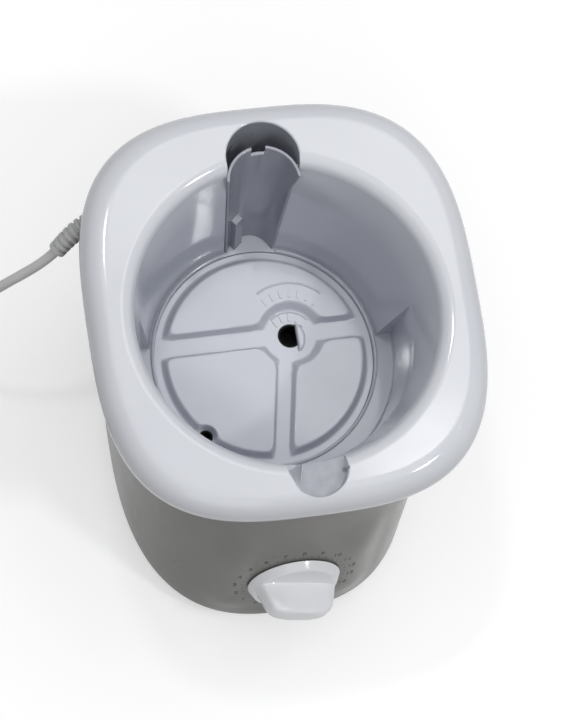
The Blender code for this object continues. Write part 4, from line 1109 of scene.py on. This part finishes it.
def well_share(tree):
    """How deep in the well a point is, as the mask of the painted shade down the well: 0 on the rim and
    outside, 1 on the lower wall.
    """
    spot = tree.nodes["spot"].outputs["Object"]
    inputs = {0: spot, 1: (1.0, 1.0, 0.0), 2: (0.0, -AXIS_Y * MM, 0.0)}
    flat = node(tree, "ShaderNodeVectorMath", inputs, operation="MULTIPLY_ADD").outputs["Vector"]
    reach = node(tree, "ShaderNodeVectorMath", {0: flat}, operation="LENGTH").outputs["Value"]
    inside = ranged(tree, reach, 1.0, 0.0, (LIP_FLAT_RADIUS - 2.0) * MM, (LIP_FLAT_RADIUS + 1.0) * MM)
    height = node(tree, "ShaderNodeSeparateXYZ", {0: spot}).outputs["Z"]
    deep = ranged(tree, height, 1.0, 0.0, (RIM_TOP - 40.0) * MM, (RIM_TOP - 3.0) * MM)
    return math_node(tree, "MULTIPLY", inside, deep)


def mixed(tree, factor, first, second):
    """A colour between two; the first may be a socket."""
    start = (*first, 1.0) if isinstance(first, tuple) else first
    inputs = {"Factor": factor, "A": start, "B": (*second, 1.0)}
    return node(tree, "ShaderNodeMix", inputs, data_type="RGBA").outputs["Result"]


def new_material(name):
    """A material and its tree."""
    material = bpy.data.materials.new(name)
    material.use_nodes = True
    return material, material.node_tree


def finish_of(name, colour, second, patch, roughness, grain, grain_height, metallic=0.0, gloss=0.5,
              deep=None):
    """A finish with two tones that drift over patches, uneven roughness and a fine grain in relief; with deep
    given, painted shade darkens it down the well.
    """
    material, tree = new_material(name)
    material.diffuse_color = (*colour, 1.0)
    shade = mixed(tree, ranged(tree, noise(tree, patch), 0.0, 1.0), colour, second)
    # Painted shade: the colour falls towards deep on the lower wall of the well
    if deep:
        shade = mixed(tree, well_share(tree), shade, deep)
    rough = ranged(tree, noise(tree, patch * 2.7, 4.0), *roughness)
    inputs = {"Strength": 1.0, "Distance": grain_height, "Height": noise(tree, grain, 4.0, 0.55)}
    bump = node(tree, "ShaderNodeBump", inputs).outputs["Normal"]
    inputs = {"Base Color": shade, "Roughness": rough, "Metallic": metallic, "Normal": bump}
    feed(tree.nodes["Principled BSDF"], {**inputs, "Specular IOR Level": gloss})
    return material


# Colour, second colour, patches per metre, roughness, grain per metre and its height in metres
FINISHES = {
    "white moulded plastic": ((0.62, 0.635, 0.67), (0.59, 0.605, 0.645), 14.0, (0.07, 0.12), 420.0, 0.00002),
    # The floor and its marks: the white plastic made darker and bluer, as painted shade down in the well
    "well plastic in painted shade": ((0.52, 0.536, 0.585), (0.48, 0.495, 0.545), 18.0, (0.08, 0.13), 420.0, 0.00002),
    # The chute's partition: the white plastic made much darker, as painted shade inside the well
    "chute plastic in painted shade": ((0.27, 0.282, 0.325), (0.24, 0.252, 0.295), 18.0, (0.1, 0.16), 420.0, 0.00002),
    # Painted shade on the pocket's wall, where the gap behind the partition is in shadow
    "pocket painted shade": ((0.36, 0.373, 0.42), (0.32, 0.333, 0.38), 30.0, (0.25, 0.35), 420.0, 0.00002),
    "notch bed plastic": ((0.33, 0.343, 0.385), (0.27, 0.28, 0.32), 160.0, (0.16, 0.26), 900.0, 0.00005),
    # The body: the white plastic made dark, as painted shade under the rim's overhang
    "body plastic in painted shade": ((0.24, 0.237, 0.224), (0.21, 0.207, 0.195), 14.0, (0.2, 0.28), 420.0, 0.00002),
    # The knob: the white plastic made brighter than the rim's, as painted light on its upward face
    "knob plastic in painted light": ((0.84, 0.85, 0.87), (0.8, 0.81, 0.83), 30.0, (0.1, 0.16), 600.0, 0.00002),
    "number ink": ((0.02, 0.02, 0.022), (0.04, 0.04, 0.043), 600.0, (0.4, 0.6), 3000.0, 0.00001),
    "black plastic": ((0.006, 0.006, 0.007), (0.01, 0.01, 0.011), 60.0, (0.4, 0.55), 1200.0, 0.00002),
    "grey base plastic": ((0.07, 0.07, 0.075), (0.05, 0.05, 0.055), 25.0, (0.42, 0.58), 1500.0, 0.00006),
    "grey boot rubber": ((0.50, 0.50, 0.50), (0.42, 0.42, 0.42), 60.0, (0.5, 0.65), 1500.0, 0.00004),
    "cord sheath": ((0.58, 0.58, 0.575), (0.52, 0.52, 0.515), 40.0, (0.38, 0.5), 900.0, 0.00003),
    "plated steel": ((0.62, 0.62, 0.61), (0.5, 0.5, 0.5), 120.0, (0.22, 0.36), 1600.0, 0.00002),
    "aluminium plate": ((0.75, 0.75, 0.76), (0.66, 0.66, 0.67), 60.0, (0.3, 0.45), 1200.0, 0.00003),
    "brass pin": ((0.78, 0.62, 0.32), (0.66, 0.5, 0.24), 150.0, (0.2, 0.34), 1500.0, 0.00002),
    "red lead": ((0.45, 0.04, 0.03), (0.36, 0.03, 0.025), 80.0, (0.4, 0.55), 1500.0, 0.00002),
    "blue lead": ((0.04, 0.1, 0.4), (0.03, 0.08, 0.32), 80.0, (0.4, 0.55), 1500.0, 0.00002),
}
# Where a finish differs in more: the painted shade it takes down the well, how glossy it is, whether it is
# metal
SPECIALS = {
    # deep is the colour of the painted shade on the housing's lower well wall
    "white moulded plastic": {"deep": (0.43, 0.447, 0.5)},
    "body plastic in painted shade": {"gloss": 0.16},
    "black plastic": {"gloss": 0.05},
    "plated steel": {"metallic": 1.0},
    "aluminium plate": {"metallic": 1.0},
    "brass pin": {"metallic": 1.0},
}
# The finish of each solid that shows as it is, by the start of its name
SOLID_FINISHES = {
    "hub_sleeve": "black plastic", "drain_sleeve": "black plastic", "base_plate": "grey base plastic",
    "foot": "grey boot rubber", "base_screw": "plated steel", "dial_shaft": "plated steel",
    "control_unit": "grey base plastic", "control_nut": "plated steel", "heating_plate": "aluminium plate",
    "heating_element": "plated steel", "thermal_cutout": "black plastic", "heat_shield": "plated steel",
    "terminal_block": "black plastic", "cord_clamp": "black plastic", "inner_cord": "cord sheath",
    "control_lead": "red lead", "heater_lead": "blue lead", "plug_body": "cord sheath",
    "plug_pin": "brass pin",
}


def dress_solids(nodes, looks):
    """The solids' own meshes keep their shape and take a finish."""
    for start, look in SOLID_FINISHES.items():
        for name, piece in nodes.items():
            if name.startswith(start):
                for slot in piece.material_slots:
                    slot.material = looks[look]


# ---- floor, lamps, camera

CAMERA_PLACE = (-0.2634, -0.3453, 1.5034)
# Its right, up and back
CAMERA_AXES = ((0.9756, -0.1602, 0.1504), (0.1163, 0.9572, 0.2652), (-0.1864, -0.2412, 0.9524))
GROUND_REACH, GROUND_THICKNESS, GROUND_DROP = 4000.0, 20.0, 0.2
LAMP_DISTANCE, LAMP_TARGET = 2.2, (0.0, 0.0, -40.0)
# Name, direction from the pot, width and height in metres, power in watts
LAMPS = (("ceiling softbox", (-0.05, 0.0, 1.0), (2.4, 2.4), 19.0),
         ("window softbox", (0.332, 0.364, 0.870), (1.0, 1.0), 5.5),
         ("front softbox", (-0.2, -0.75, 0.62), (1.2, 1.2), 5.0),
         ("overhead lamp", (0.258, 0.145, 0.955), (0.14, 0.14), 0.4),
         ("front right lamp", (0.48, -0.36, 0.8), (0.26, 0.1), 9.0),
         ("rear left lamp", (-0.155, 0.356, 0.922), (0.2, 0.1), 5.0))
# The directions of five small lamps
SPOTS = ((-0.55, 0.2, 0.81), (-0.15, -0.5, 0.85), (0.5, 0.45, 0.74), (0.0, 0.6, 0.8), (0.6, -0.1, 0.79))


def make_camera():
    """The view from above the front, turned a little to the left."""
    lens = bpy.data.cameras.new("camera")
    lens.lens = 125.0
    lens.sensor_width = 36.0
    lens.clip_start = 0.05
    camera = new_object("camera", lens)
    turn = Matrix(CAMERA_AXES).transposed().to_4x4()
    camera.matrix_world = Matrix.Translation(CAMERA_PLACE) @ turn
    bpy.context.scene.camera = camera


def looked_at(tree):
    """1 where a surface is seen straight, mirrored or through a clear one, 0 where it only sheds light."""
    path = node(tree, "ShaderNodeLightPath").outputs
    mirrored = math_node(tree, "MAXIMUM", path["Is Glossy Ray"], path["Is Transmission Ray"])
    return math_node(tree, "MAXIMUM", path["Is Camera Ray"], mirrored)


def make_floor():
    """A plain pale floor that bounces less light than it shows."""
    low, high = (-RIM_TOP - down for down in (GROUND_THICKNESS, GROUND_DROP))
    floor = block("floor", (-GROUND_REACH, -GROUND_REACH, low), (GROUND_REACH, GROUND_REACH, high))
    material, tree = new_material("pale floor")
    seen = looked_at(tree)
    shade = mixed(tree, seen, (0.36, 0.36, 0.35), (0.62, 0.62, 0.62))
    inputs = {"Base Color": shade, "Roughness": 0.9, "Specular IOR Level": 0.0}
    inputs["Emission Color"] = (1.0, 1.0, 1.0, 1.0)
    inputs["Emission Strength"] = ranged(tree, seen, 0.0, 0.45, 0.0, 1.0)
    feed(tree.nodes["Principled BSDF"], inputs)
    floor.data.materials.append(material)
    floor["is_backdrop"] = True


def make_world():
    """A pale sky that sheds less light than it shows."""
    world = bpy.data.worlds.new("studio")
    bpy.context.scene.world = world
    world.use_nodes = True
    tree = world.node_tree
    shed = ranged(tree, looked_at(tree), 0.3, 1.0, 0.0, 1.0)
    feed(tree.nodes["Background"], {"Color": (0.96, 0.97, 1.0, 1.0), "Strength": shed})


def make_lamp(name, toward, size, power):
    """A lamp out along a direction from the pot, facing it."""
    data = bpy.data.lights.new(name, "AREA")
    data.shape = "RECTANGLE"
    data.size, data.size_y = size
    data.energy = power
    lamp = new_object(name, data)
    out = Vector(toward).normalized()
    facing = out.to_track_quat("Z", "Y").to_matrix().to_4x4()
    lamp.matrix_world = Matrix.Translation(place(LAMP_TARGET) + out * LAMP_DISTANCE) @ facing


def main():
    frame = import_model()
    cad_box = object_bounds()
    make_camera()
    looks = {name: finish_of(name, *row, **SPECIALS.get(name, {})) for name, row in FINISHES.items()}
    make_cord(looks["cord sheath"])
    make_strain_relief(looks["grey boot rubber"])
    make_well_housing(looks["white moulded plastic"], looks["pocket painted shade"], looks["notch bed plastic"])
    make_chute_partition(looks["chute plastic in painted shade"])
    make_well_floor(looks["well plastic in painted shade"])
    make_body_shell(looks["body plastic in painted shade"])
    make_dial_knob(looks["knob plastic in painted light"])
    make_numbers(looks["number ink"])
    make_dots(looks["number ink"])
    make_level_marks(looks["well plastic in painted shade"])
    dress_solids(frame["nodes"], looks)
    make_floor()
    make_world()
    for lamp in LAMPS:
        make_lamp(*lamp)
    for number, toward in enumerate(SPOTS):
        make_lamp(f"spot {number + 1}", toward, (0.035, 0.035), 0.2)
    bpy.context.scene.view_settings.view_transform = "Standard"
    return cad_box


CAD_BOX = main()
